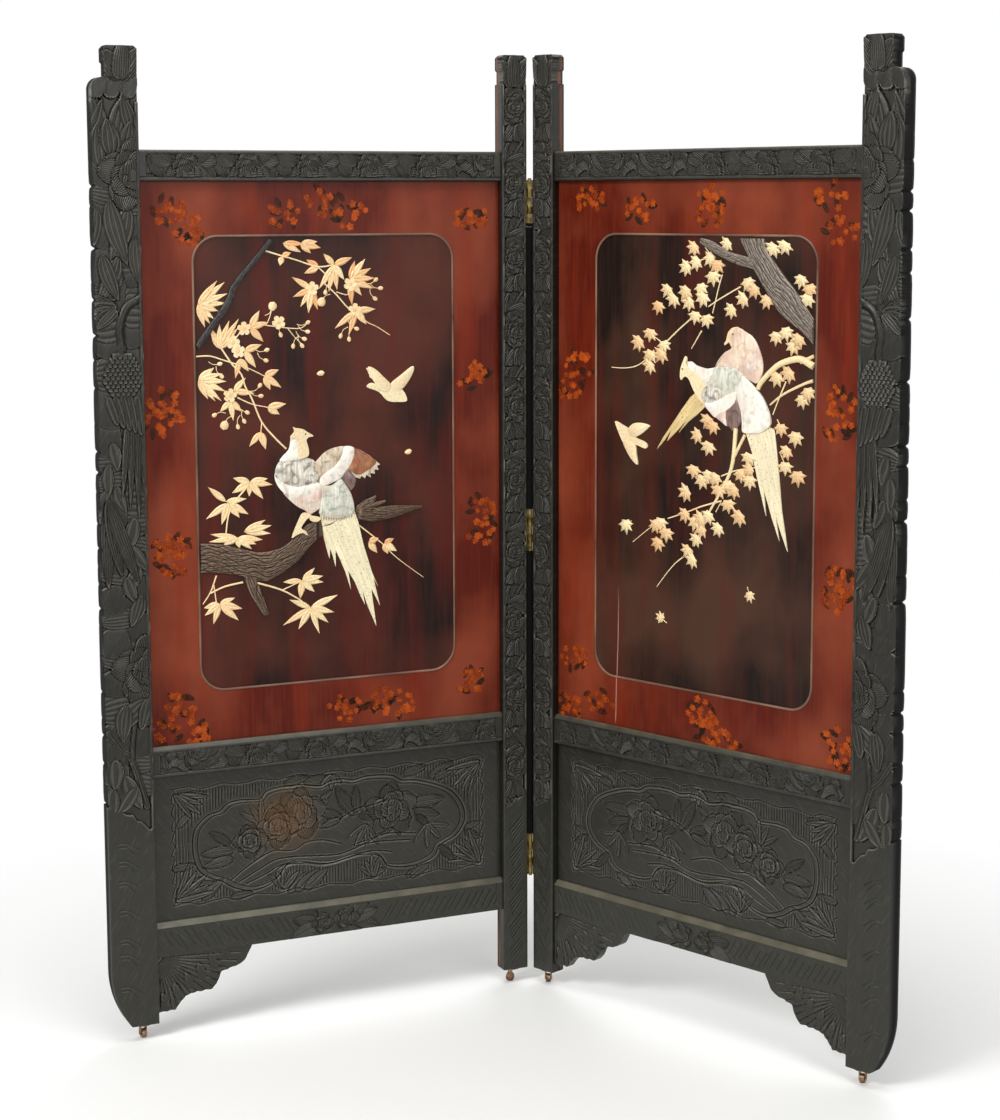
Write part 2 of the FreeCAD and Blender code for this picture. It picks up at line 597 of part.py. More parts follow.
KNUCKLES = 5
PITCH = f"((hinge_length + knuckle_gap) / {KNUCKLES})"
AXIS_DEPTH = "-pivot_proud"
WEB_REACH = "(hinge_edge + hinge_plate / 2)"
for hinge in HINGES:
    low = f"({hinge}_hinge_height - hinge_length / 2)"
    for leaf, side in SIDES.items():
        plate = leaf_box(f"{leaf}_{hinge}_plate", side, "hinge_edge", "0", low,
                         "hinge_plate", "hinge_depth", "hinge_length")
        pieces = [plate]
        for number in range(0 if leaf == "left" else 1, KNUCKLES, 2):
            name = f"{leaf}_{hinge}_{number}"
            foot = f"{low} + {number} * {PITCH}"
            height = f"{PITCH} - knuckle_gap"
            pieces.append(rod(f"{name}_knuckle", "knuckle_radius", height, "0", AXIS_DEPTH, foot))
            pieces.append(leaf_box(f"{name}_web", side, "(knuckle_radius / 2)", AXIS_DEPTH, foot,
                                   f"({WEB_REACH} - knuckle_radius / 2)", "pivot_proud + hinge_plate / 4",
                                   height))
        bores = [rod(f"{leaf}_{hinge}_bore", "pin_radius + pin_clearance", "hinge_length",
                     "0", AXIS_DEPTH, low)]
        for step in (-1, 0, 1):
            bores.append(rod(f"{leaf}_{hinge}_screw_hole_{step + 1}", "screw_radius + pin_clearance",
                             "hinge_plate", f"{side} * hinge_edge", "hinge_screw_depth",
                             f"{hinge}_hinge_height + {step} * hinge_screw_pitch",
                             FreeCAD.Vector(side, 0, 0)))
        hinge_leaf = cut(f"{leaf}_{hinge}_hinge_cut", fuse(f"{leaf}_{hinge}_hinge_solid", pieces),
                         fuse(f"{leaf}_{hinge}_hinge_bores", bores))
        keep(hinge_leaf, f"{hinge}_hinge_{leaf}_leaf", side)
    shaft = rod(f"{hinge}_pin_shaft", "pin_radius", "hinge_length", "0", AXIS_DEPTH, low)
    caps = [rod(f"{hinge}_pin_cap_{number}", "knuckle_radius - pin_cap / 4", "pin_cap", "0", AXIS_DEPTH, foot)
            for number, foot in enumerate((f"{low} - pin_cap", f"{low} + hinge_length"))]
    keep(fuse(f"{hinge}_pin_solid", [shaft] + caps), f"{hinge}_hinge_pin", SIDES["left"])


def screw(name, x, y, z, axis, flip):
    """Add a round-headed wood screw whose head's underside is at x, y, z."""
    shank = rod(f"{name}_shank", "screw_radius", "screw_length", x, y, z, axis)
    head_start = [f"{text} - {flip[index]} * screw_head_height" for index, text in enumerate((x, y, z))]
    head = rod(f"{name}_head", "screw_head_radius", "screw_head_height", *head_start, axis)
    return fuse(name, [shank, head])


for leaf, side in SIDES.items():
    screws = []
    for number, height in enumerate(hinge_screw_heights()):
        screws.append(screw(f"{leaf}_hinge_screw_{number}", f"{side} * hinge_edge", "hinge_screw_depth",
                            height, FreeCAD.Vector(side, 0, 0), (side, 0, 0)))
    keep(group(f"{leaf}_hinge_screw_group", screws), f"{leaf}_hinge_screws", side)

# Draught beads: round strips on the hinge line between the hinges, fixed to the left leaf's edge

for name, above, below in (("upper", "top", "middle"), ("lower", "middle", "bottom")):
    low = f"({below}_hinge_height + hinge_length / 2 + pin_cap + draught_gap)"
    height = f"{above}_hinge_height - hinge_length / 2 - pin_cap - draught_gap - {low}"
    strip = rod(f"{name}_draught_rod", "draught_radius", height, "0", AXIS_DEPTH, low)
    web = leaf_box(f"{name}_draught_web", -1, "0", AXIS_DEPTH, low, "hinge_edge",
                   "pivot_proud + draught_web", height)
    edge = leaf_box(f"{name}_draught_edge", -1, "hinge_edge", AXIS_DEPTH, low, "draught_radius",
                    "pivot_proud + draught_web", height)
    solid = cut(f"{name}_draught_cut", fuse(f"{name}_draught_solid", [strip, web]), edge)
    keep(solid, f"{name}_draught_bead", -1)

# Casters: a plate with its socket, a fork with its stem, a wheel and an axle, about the swivel's axis

AXLE_SIDE = "(wheel_width / 2 + wheel_gap)"
SIDEWAYS = FreeCAD.Vector(1, 0, 0)
for leaf, side in SIDES.items():
    screws = []
    for which in ("outer", "inner"):
        caster = f"{leaf}_{which}_caster"
        spot = {"side": side, "along": caster_place(which), "depth": "caster_depth"}
        turned = {**spot, "turn": f"{caster}_turn"}

        under_plate = "(sole_height - plate_thickness)"
        plate = rod(f"{caster}_plate", "plate_radius", "plate_thickness", z=under_plate)
        sleeve = rod(f"{caster}_sleeve", "socket_radius", "plate_thickness + socket_depth", z=under_plate)
        hollow = [rod(f"{caster}_socket_bore", "stem_radius + pin_clearance",
                      "plate_thickness + socket_depth - socket_cap", z=under_plate)]
        for number, angle in enumerate(PLATE_SCREW_ANGLES):
            hollow.append(rod(f"{caster}_plate_hole_{number}", "screw_radius + pin_clearance",
                              "plate_thickness", f"plate_screw_circle * cos({angle})",
                              f"plate_screw_circle * sin({angle})", under_plate))
        socket = cut(f"{caster}_socket_cut", fuse(f"{caster}_socket_solid", [plate, sleeve]),
                     fuse(f"{caster}_socket_bores", hollow))
        keep(socket, f"{caster}_socket", **spot)

        crown_low = f"({under_plate} - swivel_gap - crown_thickness)"
        crown = rod(f"{caster}_crown", "crown_radius", "crown_thickness", z=crown_low)
        stem = rod(f"{caster}_stem", "stem_radius",
                   "crown_thickness + swivel_gap + plate_thickness + socket_depth - socket_cap - tongue_gap",
                   z=crown_low)
        pieces = [crown, stem]
        bridge_thickness = "(crown_thickness - screw_head_height - swivel_gap)"
        for end, start in ((0, f"-{AXLE_SIDE} - cheek_thickness"), (1, AXLE_SIDE)):
            cheek = box(f"{caster}_cheek_{end}", start, "caster_trail - cheek_width / 2", "wheel_radius",
                        "cheek_thickness", "cheek_width", f"{crown_low} + {bridge_thickness} - wheel_radius")
            lobe = rod(f"{caster}_lobe_{end}", "cheek_width / 2", "cheek_thickness", start, "caster_trail",
                       "wheel_radius", SIDEWAYS)
            pieces += [cheek, lobe]
        bridge = box(f"{caster}_bridge", f"-{AXLE_SIDE}", "caster_trail - cheek_width / 2", crown_low,
                     f"2 * {AXLE_SIDE}", "cheek_width", bridge_thickness)
        eye = rod(f"{caster}_eye", "axle_radius + pin_clearance", f"2 * ({AXLE_SIDE} + cheek_thickness)",
                  f"-{AXLE_SIDE} - cheek_thickness", "caster_trail", "wheel_radius", SIDEWAYS)
        fork = cut(f"{caster}_fork_cut", fuse(f"{caster}_fork_solid", pieces + [bridge]), eye)
        keep(fork, f"{caster}_fork", **turned)

        tread = rod(f"{caster}_tread", "wheel_radius", "wheel_width", "-wheel_width / 2", "caster_trail",
                    "wheel_radius", SIDEWAYS)
        hub = rod(f"{caster}_hub_bore", "axle_radius + pin_clearance", "wheel_width", "-wheel_width / 2",
                  "caster_trail", "wheel_radius", SIDEWAYS)
        keep(cut(f"{caster}_wheel_cut", tread, hub), f"{caster}_wheel", **turned)
        axle_end = f"{AXLE_SIDE} + cheek_thickness + axle_head"
        axle = rod(f"{caster}_axle_rod", "axle_radius", f"2 * ({axle_end})", f"-({axle_end})", "caster_trail",
                   "wheel_radius", SIDEWAYS)
        keep(group(f"{caster}_axle_set", [axle]), f"{caster}_axle", **turned)

        for number, (x, y) in enumerate(plate_screw_places(which, side)):
            screws.append(screw(f"{caster}_screw_{number}", x, y, under_plate, UP, (0, 0, 1)))
    keep(group(f"{leaf}_caster_screw_group", screws), f"{leaf}_caster_screws", side)

doc.recompute()

for piece in doc.Objects:
    if {"Invalid", "Error"} & set(piece.State):
        raise RuntimeError(f"{piece.Name} failed: {piece.State}")
for piece in nodes:
    if piece.Shape.isNull() or not piece.Shape.isValid():
        raise RuntimeError(f"{piece.Label} has no valid shape")

os.makedirs("parts", exist_ok=True)
for piece in nodes:
    piece.Shape.exportStep(f"parts/{piece.Label}.step")
print(f"{len(nodes)} pieces written")
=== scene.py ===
# The looks of a two-fold lacquer screen: carved ebonised frames, lacquer panels, inlay and brass.
import json
import math
import random
from functools import partial

import bpy
import numpy as np
from mathutils import Matrix, Vector


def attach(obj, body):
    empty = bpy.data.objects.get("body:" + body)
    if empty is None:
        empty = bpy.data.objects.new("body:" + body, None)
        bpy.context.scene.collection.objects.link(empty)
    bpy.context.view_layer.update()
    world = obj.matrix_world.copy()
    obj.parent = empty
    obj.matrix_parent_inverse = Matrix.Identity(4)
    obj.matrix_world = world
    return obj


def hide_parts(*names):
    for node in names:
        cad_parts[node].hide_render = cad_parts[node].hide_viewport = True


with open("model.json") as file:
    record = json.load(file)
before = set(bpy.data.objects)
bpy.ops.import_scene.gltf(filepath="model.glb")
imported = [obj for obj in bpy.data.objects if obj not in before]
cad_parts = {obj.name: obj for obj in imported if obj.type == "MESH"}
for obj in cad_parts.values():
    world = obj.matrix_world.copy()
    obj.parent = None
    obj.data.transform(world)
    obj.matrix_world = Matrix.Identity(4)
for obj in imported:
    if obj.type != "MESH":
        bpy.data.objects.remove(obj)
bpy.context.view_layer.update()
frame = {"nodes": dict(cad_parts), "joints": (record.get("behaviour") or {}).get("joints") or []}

# Outer stiles
# The wide upright of each leaf, sawn from one ebonised board together with its finial and curved foot.
# Flowers, leaves and a long-tailed bird are carved into the face, and the plain lower end is gouged.
SIDES = {"left": -1, "right": 1}
PANEL_NEAR, PANEL_FAR, LEAF_REACH = 52, 706, 787
SOLE, SHOULDER, FINIAL_TOP = 27, 1641, 1692
STILE_BACK = 30
GROOVE_FRONT, GROOVE_BACK, GROOVE_DEPTH = 17, 25.2, 8
PIVOT_PROUD = 3
FINIAL_WIDTH, FINIAL_FLARE, FINIAL_NECK, FINIAL_CHAMFER = 56, 3, 22, 5
SHOULDER_RADIUS = 20
FADED_FROM, FADED_BELOW = 520, 300
FOOT_RISE, FOOT_INSET = 100, 33
SHARP_TURN = math.radians(42)
fold = next(joint for joint in frame["joints"] if joint["name"] == "leaf_fold")
LEAF_TURN = math.radians(fold["range_deg"][1] / 2)
HINGE_LINE = Vector((fold["pos_m"][0], fold["pos_m"][1], 0))


class Relief:
    """A carved face: the places of its points in millimetres, and how far each one stands out."""

    def __init__(self, x, z, ground, cut=1.1):
        self.x, self.z, self.cut = x, z, cut
        self.out = np.full(len(x), float(ground))
        self.score = np.zeros(len(x))

    def around(self, x, z, reach):
        """Find the points within reach of a place."""
        return np.nonzero((np.abs(self.x - x) < reach) & (np.abs(self.z - z) < reach))[0]

    def gap_to(self, points, reach):
        """Give each point's distance to a line of points, up to reach."""
        nearest = np.full(len(self.x), float(reach))
        for (x0, z0), (x1, z1) in zip(points, points[1:]):
            dx, dz = x1 - x0, z1 - z0
            found = self.around((x0 + x1) / 2, (z0 + z1) / 2, max(abs(dx), abs(dz)) / 2 + reach)
            px, pz = self.x[found] - x0, self.z[found] - z0
            along = np.clip((px * dx + pz * dz) / max(dx * dx + dz * dz, 1e-9), 0, 1)
            nearest[found] = np.minimum(nearest[found], np.hypot(px - along * dx, pz - along * dz))
        return nearest

    def line(self, points, width, depth):
        """Cut a V along a line of points."""
        self.out -= depth * np.clip(1 - self.gap_to(points, width) / (width / 2), 0, 1)

    def stem(self, points, width, height, pitch=None):
        """Leave a round branch standing along a line of points, scored along its length at a pitch."""
        inside = width / 2 - self.gap_to(points, width + 4)
        top = height - 0.3 * width * (1 - np.sqrt(np.clip(2 * inside / width, 0, 1)))
        self.out = np.where(inside > 0, top, self.out - 1.2 * np.exp(np.clip(inside, -8, 0) / 1.5))
        self.score = np.where(inside > 0, inside / pitch if pitch else 0, self.score)

    def petal(self, x, z, length, width, lean, height, blunt=0.45, bend=0.0, lines=0, veins=0, rib=0.8,
              rise=2.4, roll=0.0, lip=0.0):
        """Carve a scored leaf, petal or feather that grows from x, z at a lean from upright."""
        found = self.around(x, z, length * 1.3 + width)
        turn = math.radians(lean)
        dx, dz = self.x[found] - x, self.z[found] - z
        along = (dx * math.sin(turn) + dz * math.cos(turn)) / length
        across = dx * math.cos(turn) - dz * math.sin(turn) - bend * length * along * np.abs(along)
        share = np.clip(along, 0, 1)
        pointed = np.sin(np.pi * share ** 0.8)
        rounded = np.sqrt(np.clip(1 - np.abs(2 * share ** 0.6 - 1) ** 3, 0, 1))
        half = np.maximum(width / 2 * (pointed + (rounded - pointed) * blunt), 0.05)
        side = np.clip(across / half, -1, 1)
        frill = 0.035 * width * blunt * (1 + np.cos(3 * np.pi * side))
        inside = np.minimum(half - np.abs(across), np.minimum(along, 1 - along) * length - frill * share)
        top = height + 1.1 * (1 - side ** 2) + rise * (share - 0.6) + roll * side
        top -= rib * np.exp(-(across / 1.1) ** 2)
        top += lip * np.exp(-np.clip(inside, 0, None) / 1.6)
        if veins:
            top -= 0.6 * np.clip(np.cos(2 * np.pi * veins * (share - 0.3 * np.abs(side))), 0, 1)
        cover = np.clip(inside / 0.9, 0, 1)
        old = self.out[found]
        under = old - self.cut * np.exp(np.clip(inside, -9, 0) / 1.3)
        self.out[found] = np.where(inside > 0, old + (top - old) * cover, under)
        self.score[found] = np.where(inside > 0.3, lines * side, self.score[found])

    def fan(self, x, z, leans, length, width, height, **shape):
        """Carve leaves that grow from one place, each leaning and tilting its own way."""
        for count, lean in enumerate(leans):
            self.petal(x, z, length * (1 - 0.12 * (count % 2)), width, lean, height + 0.5 * (count % 3),
                       **{"roll": 1.2 * (-1) ** count, **shape})

    def leaves(self, places, stretch, blunt, bend):
        """Carve single pointed leaves, bent to either side in turn."""
        for number, (x, z, length, width, lean, height, lines) in enumerate(places):
            self.petal(x, z, stretch * length, width, lean, height, blunt=blunt, bend=bend * (-1) ** number,
                       lines=lines // 2, rib=0.4, roll=1.0, lip=0.6)

    def flower(self, x, z, radius, petals, height, lines=4):
        """Carve a full flower of broad cupped petals, ring inside ring, with a small lobed heart."""
        for ring, (reach, count) in enumerate(((1, petals), (0.7, petals - 2), (0.42, petals - 4))):
            for number in range(count):
                lean = 360 * (number + 0.5 * ring) / count + 20 * (number % 2)
                self.petal(x, z, radius * reach * (1 - 0.1 * (number % 2)), radius * reach * 6.6 / count,
                           lean, height + 0.8 * ring, blunt=1, lines=lines - ring, rib=0, rise=0.9, roll=0.8,
                           lip=0.5)
        self.petal(x, z - radius * 0.16, radius * 0.3, radius * 0.3, 0, height + 2.4, blunt=1, rib=0, rise=0)

    def thicket(self, low, high, wide, size, height, dice):
        """Fill a stretch with broad scored lobes that lie every way, so that no ground is left."""
        for row in np.arange(low, high, size * 0.5):
            for column in np.arange(0, wide + 1, size * 0.6):
                self.petal(column + dice.uniform(-6, 6), row + dice.uniform(-6, 6),
                           size * dice.uniform(0.9, 1.3), size * dice.uniform(0.7, 0.95),
                           dice.uniform(60, 300), height + dice.uniform(0, 1.2), blunt=0.9,
                           lines=dice.choice((0, 3, 4)), rib=0, roll=dice.uniform(-1, 1), lip=0.3)

    def lobes(self, notches, root, length, lean, height, dice):
        """Carve one broad lobe between each notch in an edge and the next."""
        for low, high in zip(notches, notches[1:]):
            self.petal(root + dice.uniform(-6, 6), (low + high) / 2, length, (high - low) * 1.25,
                       lean + dice.uniform(-14, 14), height + dice.uniform(-0.5, 0.7), blunt=1,
                       lines=dice.choice((0, 0, 3)), rib=0, roll=dice.uniform(-1, 1), lip=0.6)

    def scales(self, x, z, wide, tall, size, height):
        """Carve overlapping scales over an oval breast."""
        for row in range(int(tall / size), -int(tall / size) - 1, -1):
            for column in range(-int(wide / size) - 1, int(wide / size) + 2):
                px, pz = (column + 0.5 * (row % 2)) * size, -row * size * 0.8
                if (px / wide) ** 2 + (pz / tall) ** 2 < 1:
                    self.petal(x + px, z + pz + size * 0.6, size * 1.25, size * 1.15, 180, height, blunt=1,
                               rib=0.3)


def through(points, steps=6, closed=False):
    """Give a smooth line through given points."""
    count = len(points)
    last = count if closed else count - 1
    line = []
    for number in range(last):
        picks = [number - 1, number, number + 1, number + 2]
        a, b, c, d = (Vector(points[k % count] if closed else points[min(max(k, 0), count - 1)])
                      for k in picks)
        for step in range(steps):
            s = step / steps
            bend = 2 * a - 5 * b + 4 * c - d + s * (3 * b - a - 3 * c + d)
            line.append(tuple(b + 0.5 * s * (c - a + s * bend)))
    line.append(tuple(points[0] if closed else points[-1]))
    return line


def face_grid(name, left, right, heights, step):
    """Lay a grid over a board's face and give it with its points' places, rows and columns."""
    columns = round(float((right - left).max()) / step)
    bpy.ops.object.select_all(action="DESELECT")
    bpy.ops.mesh.primitive_grid_add(x_subdivisions=columns, y_subdivisions=len(heights) - 1, size=1)
    piece = bpy.context.object
    piece.name = piece.data.name = name
    flat = np.empty(len(piece.data.vertices) * 3, dtype=np.float32)
    piece.data.vertices.foreach_get("co", flat)
    share = flat.reshape(-1, 3)[:, :2] + 0.5
    column = np.rint(share[:, 0] * columns).astype(int)
    row = np.rint(share[:, 1] * (len(heights) - 1)).astype(int)
    x = left[row] + share[:, 0] * (right - left)[row]
    return piece, x, heights[row], row, column


def board_grid(name, side, near, far, heights, step):
    """Lay the grid of a board between its edges near to and far from the hinge, on its own side of it."""
    near, far = near + 0 * heights, far + 0 * heights
    return face_grid(name, *((near, far) if side > 0 else (-far, -near)), heights, step)


def stile_rows(step, finial_rows):
    """Give the heights of a stile's rows, the chamfer of its finial and the flare above its neck."""
    heights = np.concatenate((np.linspace(SOLE, SHOULDER, round((SHOULDER - SOLE) / step)),
                              np.linspace(SHOULDER + 0.02, FINIAL_TOP, finial_rows)))
    chamfer = np.clip(heights - FINIAL_TOP + FINIAL_CHAMFER, 0, None)
    flare = FINIAL_FLARE * np.clip((SHOULDER + FINIAL_NECK + FINIAL_FLARE - heights) / FINIAL_FLARE, 0, 1)
    return heights, chamfer, flare


def set_face(piece, x, depth, z, out, row, column, score=None, wear=1.0):
    """Give a grid its carved shape, and mark its cuts, its raised edges and its fine lines, where materials
    put painted shade, wear and painted highlight.
    """
    piece.data.vertices.foreach_set("co", np.column_stack((x, depth - out, z)).astype(np.float32).ravel())
    order = np.lexsort((column, row))
    grid = out[order].reshape(row.max() + 1, column.max() + 1)
    soft = grid
    for axis in (0, 1, 0, 1):
        soft = (np.roll(soft, 1, axis) + soft + np.roll(soft, -1, axis)) / 3
    edge = np.empty(len(out), dtype=np.float32)
    # wear scales the mark: deeper painted shade in cuts, more wear and painted highlight on edges.
    edge[order] = wear * (grid - soft).ravel()
    piece.data.attributes.new("edge", "FLOAT", "POINT").data.foreach_set("value", edge)
    if score is not None:
        lines = score.astype(np.float32)
        piece.data.attributes.new("score", "FLOAT", "POINT").data.foreach_set("value", lines)
    piece.data.update()


def close_board(piece, depths):
    """Draw the edge of a carved face back to each depth in turn, then close the back."""
    bpy.ops.object.mode_set(mode="EDIT")
    bpy.ops.mesh.select_mode(type="EDGE")
    bpy.ops.mesh.select_all(action="DESELECT")
    bpy.ops.mesh.select_non_manifold()
    for depth in depths:
        bpy.ops.mesh.extrude_edges_move()
        bpy.ops.transform.resize(value=(1, 0, 1), center_override=(0, depth, 0))
    bpy.ops.mesh.edge_face_add()
    bpy.ops.mesh.select_all(action="SELECT")
    bpy.ops.mesh.normals_make_consistent(inside=False)
    bpy.ops.object.mode_set(mode="OBJECT")
    bpy.ops.object.shade_smooth_by_angle(angle=SHARP_TURN)
    behind = [vertex.index for vertex in piece.data.vertices if vertex.co.y > depths[-1] - 0.01]
    for mark in ("edge", "score"):
        if mark in piece.data.attributes:
            for index in behind:
                piece.data.attributes[mark].data[index].value = 0


def plough(piece, edge_x, inward):
    """Press a panel groove into the edge of a closed board."""
    bpy.ops.object.mode_set(mode="EDIT")
    bpy.ops.mesh.select_mode(type="FACE")
    bpy.ops.mesh.select_all(action="DESELECT")
    bpy.ops.object.mode_set(mode="OBJECT")
    for face in piece.data.polygons:
        middle = face.center
        face.select = (GROOVE_FRONT < middle.y < GROOVE_BACK and abs(middle.x - edge_x) < 0.6
                       and abs(face.normal.x) > 0.9)
    bpy.ops.object.mode_set(mode="EDIT")
    bpy.ops.mesh.extrude_region_move(TRANSFORM_OT_translate={"value": (inward * GROOVE_DEPTH, 0, 0)})
    bpy.ops.object.mode_set(mode="OBJECT")


def stand(piece, leaf, slot, *nodes):
    """Set a piece that is drawn flat, in millimetres, into its leaf of the open screen."""
    piece.data.transform(Matrix.Translation(HINGE_LINE)
                         @ Matrix.Rotation(-SIDES[leaf] * LEAF_TURN, 4, "Z")
                         @ Matrix.Scale(0.001, 4)
                         @ Matrix.Translation((0, PIVOT_PROUD, 0)))
    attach(piece, f"{leaf}_leaf")
    if nodes:
        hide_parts(*nodes)


def linear(colour):
    """Turn an sRGB hex colour to linear light."""
    parts = [int(colour[start:start + 2], 16) / 255 for start in (1, 3, 5)]
    return [part / 12.92 if part <= 0.04045 else ((part + 0.055) / 1.055) ** 2.4 for part in parts] + [1]


def node(tree, kind, inputs=None, out=0, **settings):
    """Add a node with its settings, values, sRGB colours and links, and give an output or the node."""
    made = tree.nodes.new("ShaderNode" + kind)
    for name, setting in settings.items():
        setattr(made, name, setting)
    for socket, source in (inputs or {}).items():
        if isinstance(source, bpy.types.NodeSocket):
            tree.links.new(source, made.inputs[socket])
        else:
            made.inputs[socket].default_value = linear(source) if isinstance(source, str) else source
    return made if out is None else made.outputs[out]


def new_material(name, **sockets):
    """Start a material and give it with the function that adds its nodes."""
    material = bpy.data.materials.new(name)
    material.use_nodes = True
    shader = material.node_tree.nodes["Principled BSDF"]
    for socket, setting in sockets.items():
        shader.inputs[socket.replace("_", " ")].default_value = setting
    return material, partial(node, material.node_tree)


def wired(material, **sockets):
    """Link what the nodes give to the sockets of a material's shader."""
    tree = material.node_tree
    for socket, source in sockets.items():
        tree.links.new(source, tree.nodes["Principled BSDF"].inputs[socket.replace("_", " ")])
    return material


def leaf_place(add, side):
    """Give each point's place on the leaf laid flat, in millimetres."""
    return add("Mapping", {"Vector": add("TexCoord", out="Object"), "Location": HINGE_LINE,
                           "Rotation": (0, 0, -side * LEAF_TURN), "Scale": (0.001,) * 3},
               vector_type="TEXTURE")


def ebonised_wood(side, grain, worn_at=None):
    """Close-grained hardwood stained black and waxed: dust and painted top light on what faces up, rubbed
    wear and painted highlight on edges and score lines, painted shade in cuts.
    """
    name = f"ebonised_wood_{'left' if side < 0 else 'right'}_{grain}{'_worn' if worn_at else ''}"
    if name in bpy.data.materials:
        return bpy.data.materials[name]
    material, add = new_material(name, IOR=1.5, Specular_IOR_Level=0.3)
    place = leaf_place(add, side)
    fibre = (1 / 1.6, 1 / 1.6, 1 / 45) if grain == "upright" else (1 / 45, 1 / 1.6, 1 / 1.6)
    streaks = add("Mapping", {"Vector": place, "Scale": fibre})
    pores = add("TexNoise", {"Vector": streaks, "Scale": 1, "Detail": 3})
    blotch = add("TexNoise", {"Vector": place, "Scale": 1 / 38, "Detail": 4})
    height = add("SeparateXYZ", {"Vector": place}, out="Z")
    low = add("MapRange", {"Value": height, "From Min": FADED_FROM, "From Max": FADED_BELOW})
    edge = add("Attribute", attribute_name="edge", out="Fac")
    # Raised edges are painted paler: partly rubbed wear, partly painted highlight where edges catch the
    # light.
    rubbed_and_highlit = add("MapRange", {"Value": edge, "From Min": 0.25, "From Max": 1.2})
    # Painted shade: cuts and marked sides are painted near black and made matt, as if in shadow.
    painted_cut_shade = add("MapRange", {"Value": edge, "From Min": -0.1, "From Max": -0.9})
    # Painted highlight: the fine score lines are painted paler, standing in for the light they catch.
    turns = add("Attribute", attribute_name="score", out="Fac")
    wave = add("Math", {0: turns, 1: 2 * math.pi}, operation="MULTIPLY")
    crest = add("Math", {0: wave}, operation="COSINE")
    score_line_highlight = add("MapRange", {"Value": crest, "From Min": -0.2, "From Max": -0.95, "To Max": 0.42})
    # Faces that point up are painted paler: partly settled dust, partly painted top light on ledges;
    # stronger lower down.
    upward = add("SeparateXYZ", {"Vector": add("NewGeometry", out="Normal")}, out="Z")
    dust_and_top_light = add("MapRange", {"Value": upward, "From Min": 0.3, "From Max": 0.8})
    lower_down_strength = add("MapRange", {"Value": height, "From Min": FADED_FROM, "From Max": FADED_BELOW,
                               "To Min": 0.5, "To Max": 1.0})
    slant = add("Mapping", {"Vector": place, "Rotation": (0, 0.5 if grain == "upright" else -0.8, 0),
                            "Scale": (2.4, 1000, 34)}, vector_type="TEXTURE")
    strokes = add("TexNoise", {"Vector": slant, "Scale": 1, "Detail": 2})
    scratched = add("MapRange", {"Value": strokes, "From Min": 0.54, "From Max": 0.68, "To Max": 0.22})
    colour = add("Mix", {0: blotch, 6: "#0f0f0d", 7: "#24231d"}, data_type="RGBA", out=2)
    colour = add("Mix", {0: low, 6: colour, 7: "#2b2b25"}, data_type="RGBA", out=2)
    fine = add("MapRange", {"Value": pores, "From Min": 0.4, "From Max": 0.75, "To Max": 0.5})
    layers = [(fine, "#34322a")]
    for share, strength, tone in ((rubbed_and_highlit, 1.7, "#747064"), (dust_and_top_light, lower_down_strength, "#7e7a66")):
        patchy = add("Math", {0: blotch, 1: strength}, operation="MULTIPLY")
        layers.append((add("Math", {0: share, 1: patchy}, operation="MULTIPLY"), tone))
    layers += [(score_line_highlight, "#5b594f"), (scratched, "#5d5b51"), (painted_cut_shade, "#080807")]
    if worn_at:
        away = add("VectorMath", {0: place, 1: worn_at}, operation="DISTANCE", out="Value")
        away = add("Math", {0: blotch, 1: 90, 2: away}, operation="MULTIPLY_ADD")
        bare = add("MapRange", {"Value": away, "From Min": 122, "From Max": 58, "To Max": 1.2})
        depth = add("SeparateXYZ", {"Vector": place}, out="Y")
        before = add("MapRange", {"Value": depth, "From Min": 26, "From Max": 24})
        bare = add("Math", {0: bare, 1: before}, operation="MULTIPLY")
        layers.append((add("Math", {0: bare, 1: blotch}, operation="MULTIPLY"), "#6f4d2b"))
    for share, tone in layers:
        colour = add("Mix", {0: share, 6: colour, 7: tone}, data_type="RGBA", out=2)
    gloss = add("MapRange", {"Value": blotch, "To Min": 0.26, "To Max": 0.46})
    gloss = add("Math", {0: gloss, 1: painted_cut_shade}, operation="MAXIMUM")
    bump = add("Bump", {"Height": pores, "Strength": 0.25, "Distance": 0.0004})
    bump = add("Bump", {"Height": crest, "Strength": 0.8, "Distance": 0.0006, "Normal": bump})
    return wired(material, Base_Color=colour, Roughness=gloss, Normal=bump)


CARVED_GROUND, FINIAL_GROUND = -5, -2.2
MARGIN, EDGE_ROUND = 5, 1.6
NOTCH_DEEP, NOTCH_WIDE = 5.2, 2.6
ragged_edge = [(0, 376), (9, 374), (22, 389), (31, 392), (36, 402), (48, 404), (58, 412), (70, 411),
               (81, 420)]
STILE_STEP = 1.3
SIDE_SHADE = -0.9
carved_leaves = [
    (62, 1528, 84, 34, 4, -2.0, 5), (36, 1540, 66, 34, -4, -1.6, 5), (12, 1552, 52, 26, 6, -1.8, 4),
    (80, 1536, 60, 22, -8, -2.4, 3), (24, 1500, 58, 42, -18, -2.6, 5), (62, 1490, 64, 42, 14, -2.6, 5),
    (46, 1514, 50, 36, -2, -2.2, 4), (22, 1432, 84, 34, 172, -1.9, 5), (52, 1440, 90, 34, 186, -1.6, 5),
    (74, 1430, 70, 26, 176, -2.2, 4), (10, 1380, 66, 26, 176, -2.2, 4), (40, 1350, 70, 30, 165, -2.0, 4),
    (66, 1352, 66, 28, 190, -2.0, 4), (58, 1040, 40, 22, 200, -1.8, 3), (64, 1004, 44, 22, 170, -1.8, 3),
    (70, 960, 46, 24, 165, -2.0, 3), (52, 968, 40, 20, 190, -2.0, 3), (22, 912, 54, 26, 172, -1.0, 3),
    (30, 866, 46, 24, 205, -1.0, 3), (16, 830, 44, 24, 160, -1.2, 3), (38, 812, 40, 22, 190, -1.2, 3),
    (14, 780, 46, 26, 170, -1.4, 4),
]
